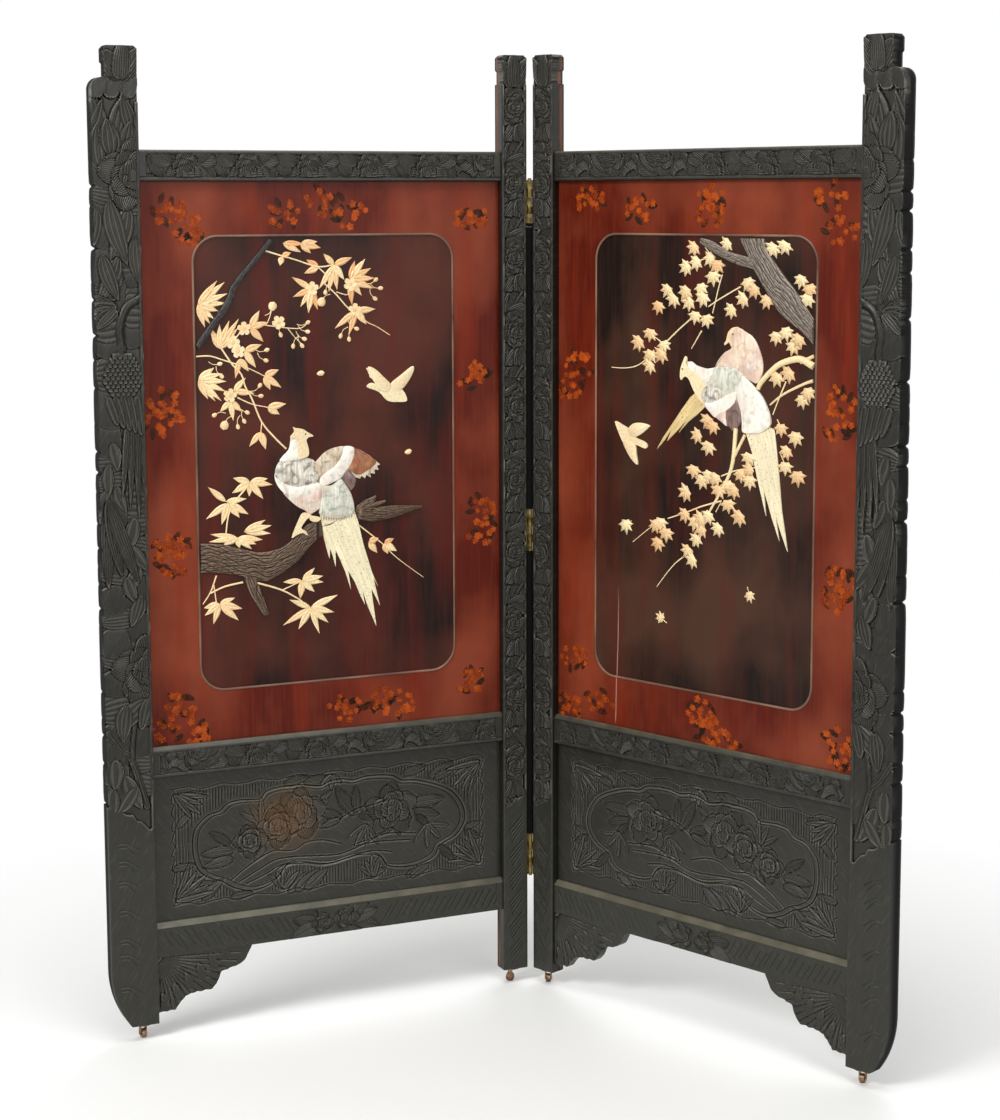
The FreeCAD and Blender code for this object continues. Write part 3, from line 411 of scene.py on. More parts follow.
lower_leaves = [
    (8, 600, 66, 32, 128, -1.0, 4), (4, 604, 50, 30, 172, -1.2, 4), (44, 592, 54, 30, 165, -1.6, 4),
    (66, 500, 44, 28, 186, -1.2, 3), (48, 470, 56, 28, 196, -1.0, 3), (30, 450, 48, 24, 150, -1.4, 3),
    (70, 450, 40, 26, 170, -1.4, 3),
]

for leaf, side in SIDES.items():
    dice = random.Random(7 if side < 0 else 8)
    notches = list(np.cumsum([ragged_edge[-1][1]] + [dice.uniform(28, 60) for number in range(27)]))
    notches = np.array([height for height in notches if height < SHOULDER - 30])
    heights, chamfer, flare = stile_rows(STILE_STEP, 40)
    foot_radius = (FOOT_RISE ** 2 + FOOT_INSET ** 2) / (2 * FOOT_INSET)
    below_foot = np.clip(SOLE + FOOT_RISE - heights, 0, None)
    over_shoulder = np.clip(heights - SHOULDER + SHOULDER_RADIUS, 0, SHOULDER_RADIUS)
    far = LEAF_REACH - foot_radius + np.sqrt(foot_radius ** 2 - below_foot ** 2)
    far = far - SHOULDER_RADIUS + np.sqrt(SHOULDER_RADIUS ** 2 - over_shoulder ** 2)
    to_notches = np.abs(heights[:, None] - notches)
    to_notch = to_notches.min(axis=1)
    depths = np.array([NOTCH_DEEP * dice.random() ** 2 for notch in notches])[to_notches.argmin(axis=1)]
    worn_away = 2.5 * np.clip((heights - 700) / 800, 0, 1)
    scallop = depths * (np.exp(-(to_notch / NOTCH_WIDE) ** 2) + 0.5 * np.exp(-to_notch / 9))
    carved = (heights > ragged_edge[-1][1]) & (heights < SHOULDER - SHOULDER_RADIUS)
    far = far - np.where(carved, scallop, 0) - worn_away
    far = np.where(heights > SHOULDER, PANEL_FAR + FINIAL_WIDTH - flare - chamfer, far)
    piece, x, z, row, column = board_grid(f"{leaf}_outer_stile_carved", side, PANEL_FAR + chamfer, far,
                                          heights, STILE_STEP)
    face = Relief(x * side - PANEL_FAR, z, CARVED_GROUND)
    face.lobes(notches + 20, 34, 44, -90, -3.4, dice)
    face.lobes(notches, 36, 56, 90, -2.8, dice)

    face.leaves(carved_leaves, 1.2, 0.3, 0.16)
    face.flower(10, 1482, 62, 9, -2.0, 6)
    for across in (16, 44, 70):
        face.petal(across, SHOULDER + 6, 42, 34, 180, -0.6, blunt=1, rib=0, rise=0.6)
    face.fan(44, 1262, (60, 78, 96, 114, 132), 46, 19, -1.8, blunt=0.8, lines=2)
    face.stem(through([(10, 1276), (28, 1262), (39, 1228), (36, 1196), (46, 1164), (62, 1150)]), 13, -0.2)
    face.petal(12, 1278, 24, 10, -70, -0.4, rib=0.3)
    face.scales(36, 1150, 31, 44, 8.5, -1.0)
    for number in range(4):
        face.petal(8 + 6 * number, 1098, 205 - 18 * number, 13, 183 - 3 * number, -1.5, blunt=0.4, lines=2,
                   rib=0)
    for number in range(5):
        face.petal(14 + 12 * number, 1116, 66 - 4 * number, 15, 186 + 3 * number, -0.9, blunt=0.95, lines=1,
                   rib=0, lip=0.3)
    face.fan(66, 944, (176, 186, 196), 150, 24, -1.9, blunt=0.5, bend=0.05, lines=3, rib=0)
    face.flower(6, 650, 64, 9, -2.0, 6)
    face.stem(through([(76, 548), (54, 516), (36, 496), (12, 414)]), 11, -0.5, 3.6)
    face.stem(through([(30, 560), (34, 526), (36, 498)]), 8, -0.7)
    face.leaves(lower_leaves, 1.15, 0.35, 0.14)

    tips, tip_heights = zip(*ragged_edge)
    below = np.interp(face.x, tips, tip_heights) - face.z
    plain = np.clip(below / 1.2, 0, 1)
    face.out = face.out * (1 - plain) - 0.2 * plain
    face.score *= (plain < 0.5) & (face.x > MARGIN) & (face.z < SHOULDER)
    margin = np.clip(MARGIN + 0.8 - face.x, 0, 1) * (face.z < SHOULDER - 40)
    face.out = face.out * (1 - margin) - 0.3 * margin
    face.out[face.z > SHOULDER] = FINIAL_GROUND
    for height in (350, 319, 283, 232, 181, 153, 96):
        for step in (0, 7):
            bow = [(65, height + 4 - step), (50, height + 3 - step), (30 + step, height - 10 - step)]
            face.line(through(bow, 4), 3.0, 1.4)
    face.fan(0.5 * FINIAL_WIDTH, SHOULDER - 4, (-34, 30, -4), 62, 32, -0.7, blunt=0.8, lines=4, rise=0.7)
    edge_gap = np.minimum(face.x, np.interp(z, heights, far) - PANEL_FAR - face.x)
    face.out = np.clip(face.out, -9, 1.2) - 1.2 * np.clip(1 - edge_gap / EDGE_ROUND, 0, 1) ** 2
    set_face(piece, x, 0, z, face.out, row, column, face.score)
    close_board(piece, (GROOVE_FRONT, GROOVE_BACK, STILE_BACK))
    # Painted shade: the outer stile's sides are marked as deep cuts, so the wood is painted near black
    # there.
    shade = piece.data.attributes["edge"].data
    for vertex in piece.data.vertices:
        if GROOVE_FRONT - 1 < vertex.co.y < STILE_BACK - 1:
            shade[vertex.index].value = SIDE_SHADE
    plough(piece, side * PANEL_FAR, side)
    piece.data.materials.append(ebonised_wood(side, "upright"))
    stand(piece, leaf, "ebonised_wood", f"{leaf}_outer_stile")

# Inner stiles
# The narrow upright at the hinge, ebonised like the wide one, with a carved band between plain margins.
# Below the band the board is only scored with slanting strokes. The hinges are let into its meeting edge.
HINGE_EDGE = 4
BAND_LOW, BAND_REPEAT = 346, 132
BOARD_STEP = 1.4
# Unstained wood in the open end of the groove: a warm brown line beside the black.
bare_wood, add = new_material("bare_brown_wood", Roughness=0.55)
bare_place = add("Mapping", {"Vector": add("TexCoord", out="Object"),
                             "Scale": (1000 / 2.5, 1000 / 2.5, 1000 / 50)})
bare_grain = add("TexNoise", {"Vector": bare_place, "Scale": 1, "Detail": 3})
bare_tone = add("Mix", {0: bare_grain, 6: "#4a2618", 7: "#84563e"}, data_type="RGBA", out=2)
wired(bare_wood, Base_Color=bare_tone)

for leaf, side in SIDES.items():
    heights, chamfer, flare = stile_rows(BOARD_STEP, 36)
    far = PANEL_NEAR - np.where(heights > SHOULDER, flare + chamfer, 0)
    near = HINGE_EDGE + 0.1 + chamfer
    piece, x, z, row, column = board_grid(f"{leaf}_inner_stile_carved", side, near, far, heights, BOARD_STEP)
    width = PANEL_NEAR - HINGE_EDGE
    middle = width / 2
    face = Relief(x * side - HINGE_EDGE, z, CARVED_GROUND)
    dice = random.Random(21 + side)
    face.thicket(BAND_LOW - 10, SHOULDER - 6, width, 42, -3.0, dice)
    for start in np.arange(SHOULDER - 40, BAND_LOW + 40, -BAND_REPEAT):
        turn = dice.choice((-1, 1))
        face.fan(middle - 14 * turn, start + 34, (70 * turn, 110 * turn, 150 * turn), 48, 22, -1.5, lines=3)
        face.flower(middle + dice.uniform(-6, 6), start, 30, 8, -1.6)
        face.fan(middle + 10 * turn, start - 28, (-140 * turn, -175 * turn, 150 * turn), 50, 22, -1.5,
                 lines=3)
        face.fan(middle - 6 * turn, start - 62, (120, 160, 200, 240), 40, 20, -1.4, lines=3)
        face.stem(through([(middle + 16 * turn, start - 60), (middle, start - 84),
                           (middle - 14 * turn, start - 104)]), 6, -0.8)
    slant = BAND_LOW + side * (face.x - middle) * 0.6
    beyond = np.maximum.reduce((MARGIN - face.x, face.x - width + MARGIN, slant - face.z))
    plain = np.clip(beyond + 0.6, 0, 1)
    face.out = face.out * (1 - plain) - 0.2 * plain
    face.score *= (plain < 0.5) & (face.z < SHOULDER)
    face.out[face.z > SHOULDER] = FINIAL_GROUND
    face.fan(middle, SHOULDER - 4, (-30, 30, 2), 60, 28, -0.7, blunt=0.8, lines=4, rise=0.7)
    for start in np.arange(SOLE + 14, BAND_LOW - 40, 46):
        for stroke in range(4):
            foot = start + stroke * 7 + dice.uniform(-1, 1)
            face.line([(10, foot + 26), (30 + 2 * stroke, foot)], 2.6, 1.5)
    edge_gap = np.minimum(face.x, width - face.x)
    face.out = np.clip(face.out, -7.5, 1.2) - 1.0 * np.clip(1 - edge_gap / EDGE_ROUND, 0, 1) ** 2
    set_face(piece, x, 0, z, face.out, row, column, face.score)
    close_board(piece, (GROOVE_FRONT, GROOVE_BACK, STILE_BACK))
    plough(piece, side * PANEL_NEAR, -side)
    piece.data.materials.append(ebonised_wood(side, "upright"))
    piece.data.materials.append(bare_wood)
    for cheek in piece.data.polygons:
        sunk_in = PANEL_NEAR - side * cheek.center.x
        if (0.2 < sunk_in < GROOVE_DEPTH + 0.6 and abs(cheek.normal.z) < 0.5
                and GROOVE_FRONT - 0.1 < cheek.center.y < GROOVE_BACK + 0.1):
            cheek.material_index = 1
    stand(piece, leaf, "ebonised_wood", f"{leaf}_inner_stile")

# Rails
# Three moulded cross-bars of ebonised wood in each leaf, tongued into the stiles. The top and middle rails
# carry a band of carved leaves above a small bead; the bottom rail has a ledge and slanting strokes.
RAIL_FRONT, RAIL_BACK = 5, 28
RAILS = {"top": (1472, 1524, 3), "mid": (460, 513, 6), "bottom": (143, 202, 8)}
RAIL_BEAD = 7
RAIL_REPEAT = 109

for leaf, side in SIDES.items():
    for rail, (low, high, bevel) in RAILS.items():
        heights = np.linspace(low, high, round((high - low) / STILE_STEP))
        piece, x, z, row, column = board_grid(f"{leaf}_{rail}_rail_carved", side, PANEL_NEAR, PANEL_FAR,
                                              heights, BOARD_STEP)
        face = Relief(x * side - PANEL_NEAR, z, -2.6, 0.6)
        dice = random.Random(f"{leaf} {rail}")
        middle = low + RAIL_BEAD + (high - bevel - low - RAIL_BEAD) / 2
        length = PANEL_FAR - PANEL_NEAR
        if rail == "bottom":
            face.out[:] = 0
            for foot in list(np.arange(16, 240, 13)) + list(np.arange(length - 250, length - 20, 13)):
                slope = -18 if foot < length / 2 else 18
                rise = dice.uniform(6, 16)
                face.line([(foot, low + rise), (foot + slope, high - bevel - 22 + rise)], 3.4, 1.5)
            face.fan(length / 2 - 30, middle - 8, (250, 285, 320), 60, 26, -1.6, lines=4, rise=1)
            face.fan(length / 2 + 30, middle - 8, (40, 75, 110), 60, 26, -1.6, lines=4, rise=1)
            face.flower(length / 2 - 20, middle - 4, 26, 8, -1.8)
            face.flower(length / 2 + 24, middle - 8, 22, 8, -1.8)
        else:
            face.thicket(low, high, length, 46, -2.2, dice)
            for start in np.arange(30, length, RAIL_REPEAT):
                turn = dice.choice((-1, 1))
                face.fan(start - 10, middle + 8 * turn, (235, 270, 305), 52, 34, -1.4, blunt=0.8, lines=5,
                         rise=1)
                face.fan(start + 10, middle - 8 * turn, (55, 90, 125), 52, 34, -1.4, blunt=0.8, lines=5,
                         rise=1)
                face.flower(start, middle - 16 * turn, 40, 8, -1.8, 5)
                face.fan(start + 54, middle + 20 * turn, (120, 160, 200, 240), 42, 34, -1.2, blunt=0.9,
                         lines=5, rise=1)
            bead = np.clip(1 - ((z - low - RAIL_BEAD / 2) / (RAIL_BEAD / 2)) ** 2, 0, 1)
            face.out = np.where(z < low + RAIL_BEAD, -2.5 + 2.4 * np.sqrt(bead), face.out)
        ends = np.clip(14 - np.minimum(face.x, length - face.x), 0, 1)
        ledge = np.clip(z - high + bevel + 4, 0, 1)
        flat = np.maximum(ledge, (z < low + RAIL_BEAD) & (rail != "bottom"))
        face.out = face.out * (1 - ledge) - 0.1 * ledge
        face.out = np.where(z > low + RAIL_BEAD, face.out * (1 - ends) - 0.4 * ends, face.out)
        face.score *= np.maximum(flat, ends) < 0.5
        face.out = np.clip(face.out, -4.4, 0.8)
        depth = RAIL_FRONT + np.clip(z - high + bevel, 0, None)
        set_face(piece, x, depth, z, face.out, row, column, face.score)
        close_board(piece, (RAIL_BACK,))
        piece.data.materials.append(ebonised_wood(side, "level"))
        stand(piece, leaf, "ebonised_wood", f"{leaf}_{rail}_rail")

# Lacquer panels
# Boards lacquered red round the edge and brown-black in a sunk field, rubbed in upright streaks.
# Their edges stand in the grooves of the frame, and the plain back is lacquered dark.
WINDOW_LOW, WINDOW_WIDE, WINDOW_TALL, WINDOW_RADIUS = 604, 469, 775, 42
WINDOW_NEAR = 143
PANEL_FRONT, FIELD_FRONT, PANEL_BACK = 17.1, 18.6, 25.1
CRACK_PLACE, CRACK_LOW, CRACK_HIGH = 191, 515, 770


def lacquer(side):
    """Urushi lacquer over boards: a deep gloss, with red showing through the worn brown-black top coat."""
    name = "left" if side < 0 else "right"
    material, add = new_material(f"red_and_black_lacquer_{name}", IOR=1.54, Specular_IOR_Level=0.1)
    place = leaf_place(add, side)
    middle = (side * (WINDOW_NEAR + WINDOW_WIDE / 2), 0, WINDOW_LOW + WINDOW_TALL / 2)
    offset = add("VectorMath", {0: place, 1: middle}, operation="SUBTRACT")
    spread = add("VectorMath", {0: offset}, operation="ABSOLUTE")
    corner = (WINDOW_WIDE / 2 - WINDOW_RADIUS, 1000, WINDOW_TALL / 2 - WINDOW_RADIUS)
    past = add("VectorMath", {0: spread, 1: corner}, operation="SUBTRACT")
    outer = add("VectorMath", {0: past, 1: (0, 0, 0)}, operation="MAXIMUM")
    reach = add("VectorMath", {0: outer}, operation="LENGTH", out="Value")
    border = add("MapRange", {"Value": reach, "From Min": WINDOW_RADIUS - 0.4,
                              "From Max": WINDOW_RADIUS + 0.4})
    noises = {}
    for name, wide, tall, detail in (("streak", 40, 320, 4), ("cloud", 190, 280, 4), ("brush", 5, 110, 3)):
        stretched = add("Mapping", {"Vector": place, "Scale": (1 / wide, 1 / wide, 1 / tall)})
        noises[name] = add("TexNoise", {"Vector": stretched, "Scale": 1, "Detail": detail})
    field, red = "#1e110e" if side < 0 else "#1a110e", "#52160a"
    coats = (("cloud", 0.4, 0.62, 0.9, "#552a20" if side < 0 else "#4c3226", "#853d27"),
             ("streak", 0.48, 0.74, 0.7, "#5c1a12" if side < 0 else "#531d14", "#7d2810"),
             ("brush", 0.45, 0.8, 0.22, "#4c3126", "#7e4029"))
    for noise, low, high, most, field_tone, red_tone in coats:
        share = add("MapRange", {"Value": noises[noise], "From Min": low, "From Max": high, "To Max": most})
        field = add("Mix", {0: share, 6: field, 7: field_tone}, data_type="RGBA", out=2)
        red = add("Mix", {0: share, 6: red, 7: red_tone}, data_type="RGBA", out=2)
    colour = add("Mix", {0: border, 6: field, 7: red}, data_type="RGBA", out=2)
    if side > 0:
        across = add("SeparateXYZ", {"Vector": place}, out=None)
        sway = add("MapRange", {"Value": noises["cloud"], "To Min": CRACK_PLACE - 9,
                                "To Max": CRACK_PLACE + 9})
        gap = add("Math", {0: across.outputs["X"], 1: sway}, operation="SUBTRACT")
        near = add("MapRange", {"Value": add("Math", {0: gap}, operation="ABSOLUTE"), "From Min": 1.5,
                                "From Max": 0.3, "To Max": 0.6})
        above = add("MapRange", {"Value": across.outputs["Z"], "From Min": CRACK_LOW,
                                 "From Max": CRACK_LOW + 12})
        below = add("MapRange", {"Value": across.outputs["Z"], "From Min": CRACK_HIGH,
                                 "From Max": CRACK_HIGH - 80})
        span = add("Math", {0: above, 1: below}, operation="MULTIPLY")
        crack = add("Math", {0: near, 1: span}, operation="MULTIPLY")
        colour = add("Mix", {0: crack, 6: colour, 7: "#b8a294"}, data_type="RGBA", out=2)
    depth = add("SeparateXYZ", {"Vector": place}, out="Y")
    behind = add("MapRange", {"Value": depth, "From Min": PANEL_BACK + 1, "From Max": PANEL_BACK + 2})
    plain = add("Mix", {0: noises["streak"], 6: "#1c100d", 7: "#3a1a13"}, data_type="RGBA", out=2)
    colour = add("Mix", {0: behind, 6: colour, 7: plain}, data_type="RGBA", out=2)
    gloss = add("MapRange", {"Value": noises["brush"], "To Min": 0.22, "To Max": 0.42})
    bump = add("Bump", {"Height": noises["streak"], "Strength": 0.1, "Distance": 0.0006})
    return wired(material, Base_Color=colour, Roughness=gloss, Normal=bump)


for leaf, side in SIDES.items():
    slots = frame["nodes"][f"{leaf}_lacquer_panel"].data.materials
    slots.clear()
    slots.append(lacquer(side))

# Painted blossom
# Orange blossoms and dark leaves painted in coloured lacquer on the red border, in loose groups.
# The paint lies on the red coat as a thin film and is half worn away.
painted_groups = {
    "left": ((655, 1425), (622, 1392), (452, 1415), (333, 1416), (380, 1440), (107, 1412), (669, 1105),
             (668, 1070), (664, 856), (656, 828), (652, 577), (679, 538), (626, 527), (104, 1130), (88, 890),
             (84, 850), (112, 575), (352, 548), (290, 556), (250, 545)),
    "right": ((126, 1438), (242, 1424), (395, 1440), (398, 1414), (639, 1446), (660, 1392), (664, 1120),
              (655, 1080), (670, 830), (660, 800), (381, 567), (403, 538), (435, 517), (672, 562),
              (682, 540), (80, 529), (152, 552), (100, 1150), (82, 1110), (92, 620)),
}
BLOSSOM_ACROSS, PAINTED_LEAF = 14, 22
PAINT_FILM = 0.12


def off(x, z, reach, lean):
    """Give the place so far from x, z, in a direction so many degrees from upright."""
    return x + reach * math.sin(math.radians(lean)), z + reach * math.cos(math.radians(lean))


def rim_plate(name, rim, edge, middle):
    """Cut a small plate to a rim given as angle and reach, raised or sunk at its middle."""
    bpy.ops.object.select_all(action="DESELECT")
    bpy.ops.mesh.primitive_circle_add(vertices=len(rim), radius=1, fill_type="TRIFAN")
    piece = bpy.context.object
    piece.name = piece.data.name = name
    spots = iter(rim)
    for vertex in piece.data.vertices:
        if vertex.co.length < 0.5:
            vertex.co = (0, -middle, 0)
        else:
            turn, reach = next(spots)
            x, z = off(0, 0, reach, turn)
            vertex.co = (x, -edge, z)
    close_board(piece, (0,))
    return piece


def set_copy(blank, x, z, length, width, lean, lift=0.0, tint=0.0):
    """Lay a copy of a blank at a place, turned, sized and tinted."""
    piece = blank.copy()
    piece.data = blank.data.copy()
    bpy.context.collection.objects.link(piece)
    piece.data.transform(Matrix.Translation((x, -lift, z)) @ Matrix.Rotation(math.radians(lean), 4, "Y")
                         @ Matrix.Diagonal((width, 1, length, 1)))
    mark = piece.data.attributes.new("tint", "FLOAT", "POINT")
    mark.data.foreach_set("value", np.full(len(piece.data.vertices), tint, dtype=np.float32))
    return piece


def joined(name, pieces):
    """Join pieces to one."""
    bpy.ops.object.select_all(action="DESELECT")
    for piece in pieces:
        piece.select_set(True)
    bpy.context.view_layer.objects.active = pieces[0]
    if len(pieces) > 1:
        bpy.ops.object.join()
    pieces[0].name = pieces[0].data.name = name
    return pieces[0]


def blossom_rim(notch):
    """Give the rim of five round petals."""
    shape = ((-36, notch), (-24, 0.9), (-9, 1), (9, 1), (24, 0.9))
    return [(72 * petal + turn, reach) for petal in range(5) for turn, reach in shape]


def painted_lacquer(name, fresh, faded):
    """Coloured lacquer painted thin: patchy, with the red coat showing through where it is worn."""
    material, add = new_material(name, IOR=1.52, Specular_IOR_Level=0.1)
    place = add("TexCoord", out="Object")
    patch = add("TexNoise", {"Vector": place, "Scale": 1000 / 11, "Detail": 2})
    tint = add("Attribute", attribute_name="tint", out="Fac")
    wear = add("Math", {0: patch, 1: tint}, operation="ADD")
    share = add("MapRange", {"Value": wear, "From Min": 0.55, "From Max": 1.0})
    colour = add("Mix", {0: share, 6: fresh, 7: faded}, data_type="RGBA", out=2)
    gloss = add("MapRange", {"Value": patch, "To Min": 0.25, "To Max": 0.5})
    thin = add("MapRange", {"Value": wear, "From Min": 0.4, "From Max": 0.95, "To Min": 0.84, "To Max": 0.4})
    return wired(material, Base_Color=colour, Roughness=gloss, Alpha=thin)


petal_paint = painted_lacquer("orange_painted_lacquer", "#bd541b", "#963a16")
leaf_paint = painted_lacquer("dark_painted_lacquer", "#3a2519", "#5e2e1d")
blossom_blank = rim_plate("painted_blossom_blank", blossom_rim(0.55), PAINT_FILM, PAINT_FILM)
leaf_rim = [(turn, 0.5 / math.sqrt(math.cos(math.radians(turn)) ** 2
                                   + 5 * math.sin(math.radians(turn)) ** 2)) for turn in range(0, 360, 30)]
leaf_blank = rim_plate("painted_leaf_blank", leaf_rim, PAINT_FILM, PAINT_FILM)
blossom_blank.data.materials.append(petal_paint)
leaf_blank.data.materials.append(leaf_paint)
for leaf, side in SIDES.items():
    dice = random.Random(f"paint {leaf}")
    marks = []
    for along, height in painted_groups[leaf]:
        worn = dice.uniform(0.0, 0.22)
        for number in range(dice.randint(4, 7)):
            turn = dice.uniform(0, 360)
            reach = dice.uniform(14, 34)
            marks.append(set_copy(leaf_blank, side * along + reach * math.sin(turn),
                                  height + 0.7 * reach * math.cos(turn), PAINTED_LEAF, PAINTED_LEAF,
                                  dice.uniform(0, 360), 0, worn + dice.uniform(0, 0.2)))
        for number in range(dice.randint(12, 18)):
            turn = dice.uniform(0, 360)
            reach = 32 * math.sqrt(dice.random())
            size = BLOSSOM_ACROSS / 2 * dice.uniform(0.7, 1.05)
            marks.append(set_copy(blossom_blank, side * along + reach * math.sin(turn),
                                  height + 0.75 * reach * math.cos(turn), size, size, dice.uniform(0, 72),
                                  0.02 * number + 0.02, worn + dice.uniform(0, 0.25)))
    piece = joined(f"{leaf}_painted_blossom", marks)
    piece.data.transform(Matrix.Translation((0, PANEL_FRONT, 0)))
    stand(piece, leaf, "red_lacquer")
for blank in (blossom_blank, leaf_blank):
    bpy.data.objects.remove(blank)

# Window beads
# A thin rounded line of dark lacquered wood, bent round the sunk field and glued to its edge.
# It covers the step between the red border and the field.
BEAD_RADIUS = 2.1
ARC_STEPS = 10


def rounded_frame(left, right, low, high, radius):
    """Give the points of a rectangle with round corners."""
    points = []
    for x, z, start in ((right, high, 0), (left, high, 90), (left, low, 180), (right, low, 270)):
        middle = (x - math.copysign(radius, x - (left + right) / 2),
                  z - math.copysign(radius, z - (low + high) / 2))
        for step in range(ARC_STEPS + 1):
            turn = math.radians(start + 90 * step / ARC_STEPS)
            points.append((middle[0] + radius * math.cos(turn), middle[1] + radius * math.sin(turn)))
    return points


def rod_along(name, points, depth, radii, closed=False):
    """Make a round rod that follows points on the leaf, with its own radius at each."""
    bpy.ops.object.select_all(action="DESELECT")
    line = bpy.data.curves.new(name, "CURVE")
    line.dimensions = "3D"
    line.bevel_depth = 1
    line.bevel_resolution = 2
    line.use_fill_caps = not closed
    spline = line.splines.new("POLY")
    spline.points.add(len(points) - 1)
    spline.use_cyclic_u = closed
    for point, (x, z), radius in zip(spline.points, points, radii):
        point.co = (x, depth, z, 1)
        point.radius = radius
    piece = bpy.data.objects.new(name, line)
    bpy.context.collection.objects.link(piece)
    bpy.context.view_layer.objects.active = piece
    piece.select_set(True)
    bpy.ops.object.convert(target="MESH")
    piece = bpy.context.object
    bpy.ops.object.mode_set(mode="EDIT")
    bpy.ops.mesh.select_all(action="SELECT")
    bpy.ops.mesh.normals_make_consistent(inside=False)
    bpy.ops.object.mode_set(mode="OBJECT")
    bpy.ops.object.shade_smooth_by_angle(angle=math.radians(60))
    return piece


def dark_bead(side):
    """Dark lacquered beading: a thin gloss, worn paler in stretches."""
    material, add = new_material(f"dark_bead_{'left' if side < 0 else 'right'}", IOR=1.52,
                                 Specular_IOR_Level=0.3)
    place = leaf_place(add, side)
    wear = add("TexNoise", {"Vector": place, "Scale": 1 / 90, "Detail": 3})
    share = add("MapRange", {"Value": wear, "From Min": 0.3, "From Max": 0.7})
    colour = add("Mix", {0: share, 6: "#503a2e", 7: "#8a6c56"}, data_type="RGBA", out=2)
    gloss = add("MapRange", {"Value": wear, "To Min": 0.2, "To Max": 0.45})
    return wired(material, Base_Color=colour, Roughness=gloss)


for leaf, side in SIDES.items():
    ends = sorted((side * (WINDOW_NEAR - BEAD_RADIUS), side * (WINDOW_NEAR + WINDOW_WIDE + BEAD_RADIUS)))
    points = rounded_frame(*ends, WINDOW_LOW - BEAD_RADIUS, WINDOW_LOW + WINDOW_TALL + BEAD_RADIUS,
                           WINDOW_RADIUS + BEAD_RADIUS)
    piece = rod_along(f"{leaf}_window_bead_bent", points, PANEL_FRONT + 0.4, [BEAD_RADIUS] * len(points),
                      closed=True)
    piece.data.materials.append(dark_bead(side))
    stand(piece, leaf, "dark_bead", f"{leaf}_window_bead")

# Carved lower panels
# One dark board between the middle and the bottom rail, in the same grooves as the lacquer above it.
# A ragged frame line and a cloud-shaped cartouche with a spray of blossom are cut into it, and it is worn.
LOWER_LOW, LOWER_HIGH = 202, 460
TONGUE = 7
FRAME_STEPS, LOWER_ROWS = 60, 194
DEEP_CUT, LIGHT_CUT, HATCH_CUT = (3.4, 2.0), (2.9, 1.5), (2.8, 1.1)
WORN_PATCH = (-465, 0, 362)
cloud = [
    (.108, .527), (.114, .606), (.131, .658), (.155, .701), (.184, .717), (.206, .763), (.24, .777),
    (.281, .769), (.3, .774), (.312, .814), (.343, .835), (.384, .836), (.424, .833), (.465, .812),
    (.493, .838), (.53, .844), (.564, .829), (.598, .844), (.639, .842), (.68, .826), (.707, .787),
    (.748, .776), (.802, .734), (.85, .675), (.879, .592), (.892, .504), (.888, .421), (.864, .344),
    (.83, .304), (.813, .276), (.802, .22), (.775, .183), (.734, .162), (.693, .166), (.659, .191),
    (.647, .241), (.625, .278), (.584, .29), (.544, .279), (.503, .257), (.462, .266), (.421, .291),
    (.394, .299), (.366, .274), (.349, .222), (.326, .171), (.292, .141), (.257, .139), (.217, .177),
    (.189, .224), (.155, .26), (.128, .31), (.114, .379), (.108, .462),
]
branch_cuts = [
    ((.213, .229), (.257, .306), (.292, .353), (.332, .395), (.387, .383), (.428, .427), (.475, .427),
     (.523, .39)),
    ((.234, .207), (.292, .28), (.339, .331), (.394, .335), (.462, .32), (.516, .313), (.557, .334),
     (.598, .369), (.639, .407), (.673, .417), (.745, .396)),
    ((.257, .192), (.305, .235), (.343, .281), (.38, .3)),
    ((.339, .261), (.366, .286), (.421, .28), (.475, .254), (.53, .273), (.571, .294), (.619, .308),
     (.673, .284)),
    ((.523, .562), (.571, .62), (.625, .638), (.666, .668)), ((.557, .367), (.619, .399), (.656, .438)),
    ((.564, .357), (.639, .368), (.728, .354)),
]
leaf_cuts = [
    ((.22, .431), (.129, .427)), ((.213, .478), (.155, .579)), ((.22, .374), (.136, .34)),
    ((.312, .429), (.278, .349)), ((.462, .691), (.503, .776)), ((.455, .652), (.493, .716)),
    ((.567, .576), (.511, .793)), ((.572, .595), (.569, .786)), ((.53, .565), (.455, .644)),
    ((.523, .559), (.465, .517)), ((.578, .577), (.622, .531)), ((.584, .608), (.646, .674)),
    ((.734, .591), (.813, .59)), ((.741, .561), (.817, .512)), ((.734, .619), (.833, .628)),
    ((.748, .525), (.789, .433)), ((.619, .582), (.639, .476)), ((.68, .498), (.7, .392)),
    ((.061, .174), (.135, .273)), ((.065, .163), (.179, .223)), ((.131, .111), (.189, .244)),
    ((.05, .349), (.114, .371)), ((.373, .084), (.431, .219)), ((.394, .089), (.462, .23)),
    ((.421, .091), (.486, .229)), ((.714, .085), (.758, .158)), ((.728, .084), (.785, .167)),
    ((.708, .83), (.779, .871)), ((.785, .782), (.858, .88)), ((.802, .772), (.864, .831)),
    ((.421, .847), (.497, .87)), ((.366, .855), (.435, .888)), ((.816, .283), (.864, .16)),
    ((.891, .387), (.939, .423)), ((.891, .37), (.942, .304)), ((.074, .828), (.149, .857)),
    ((.067, .635), (.108, .738)), ((.598, .123), (.656, .172)), ((.21, .108), (.271, .122)),
]
corner_fans = [
    ((.062, .125), (20, 36, 52, 68, 82), 70), ((.062, .86), (98, 114, 130, 146), 60),
    ((.938, .86), (200, 216, 232, 248, 262), 66), ((.938, .13), (276, 292, 308, 324, 340), 66),
    ((.36, .12), (-44, -22, 0, 22, 44), 40), ((.62, .12), (-50, -28, -6, 16), 40),
    ((.5, .88), (130, 155, 180, 205, 230), 26), ((.3, .6), (-60, -30, 0, 30), 46),
    ((.6, .5), (150, 180, 210, 240), 46), ((.78, .45), (100, 140, 180, 220), 44),
]
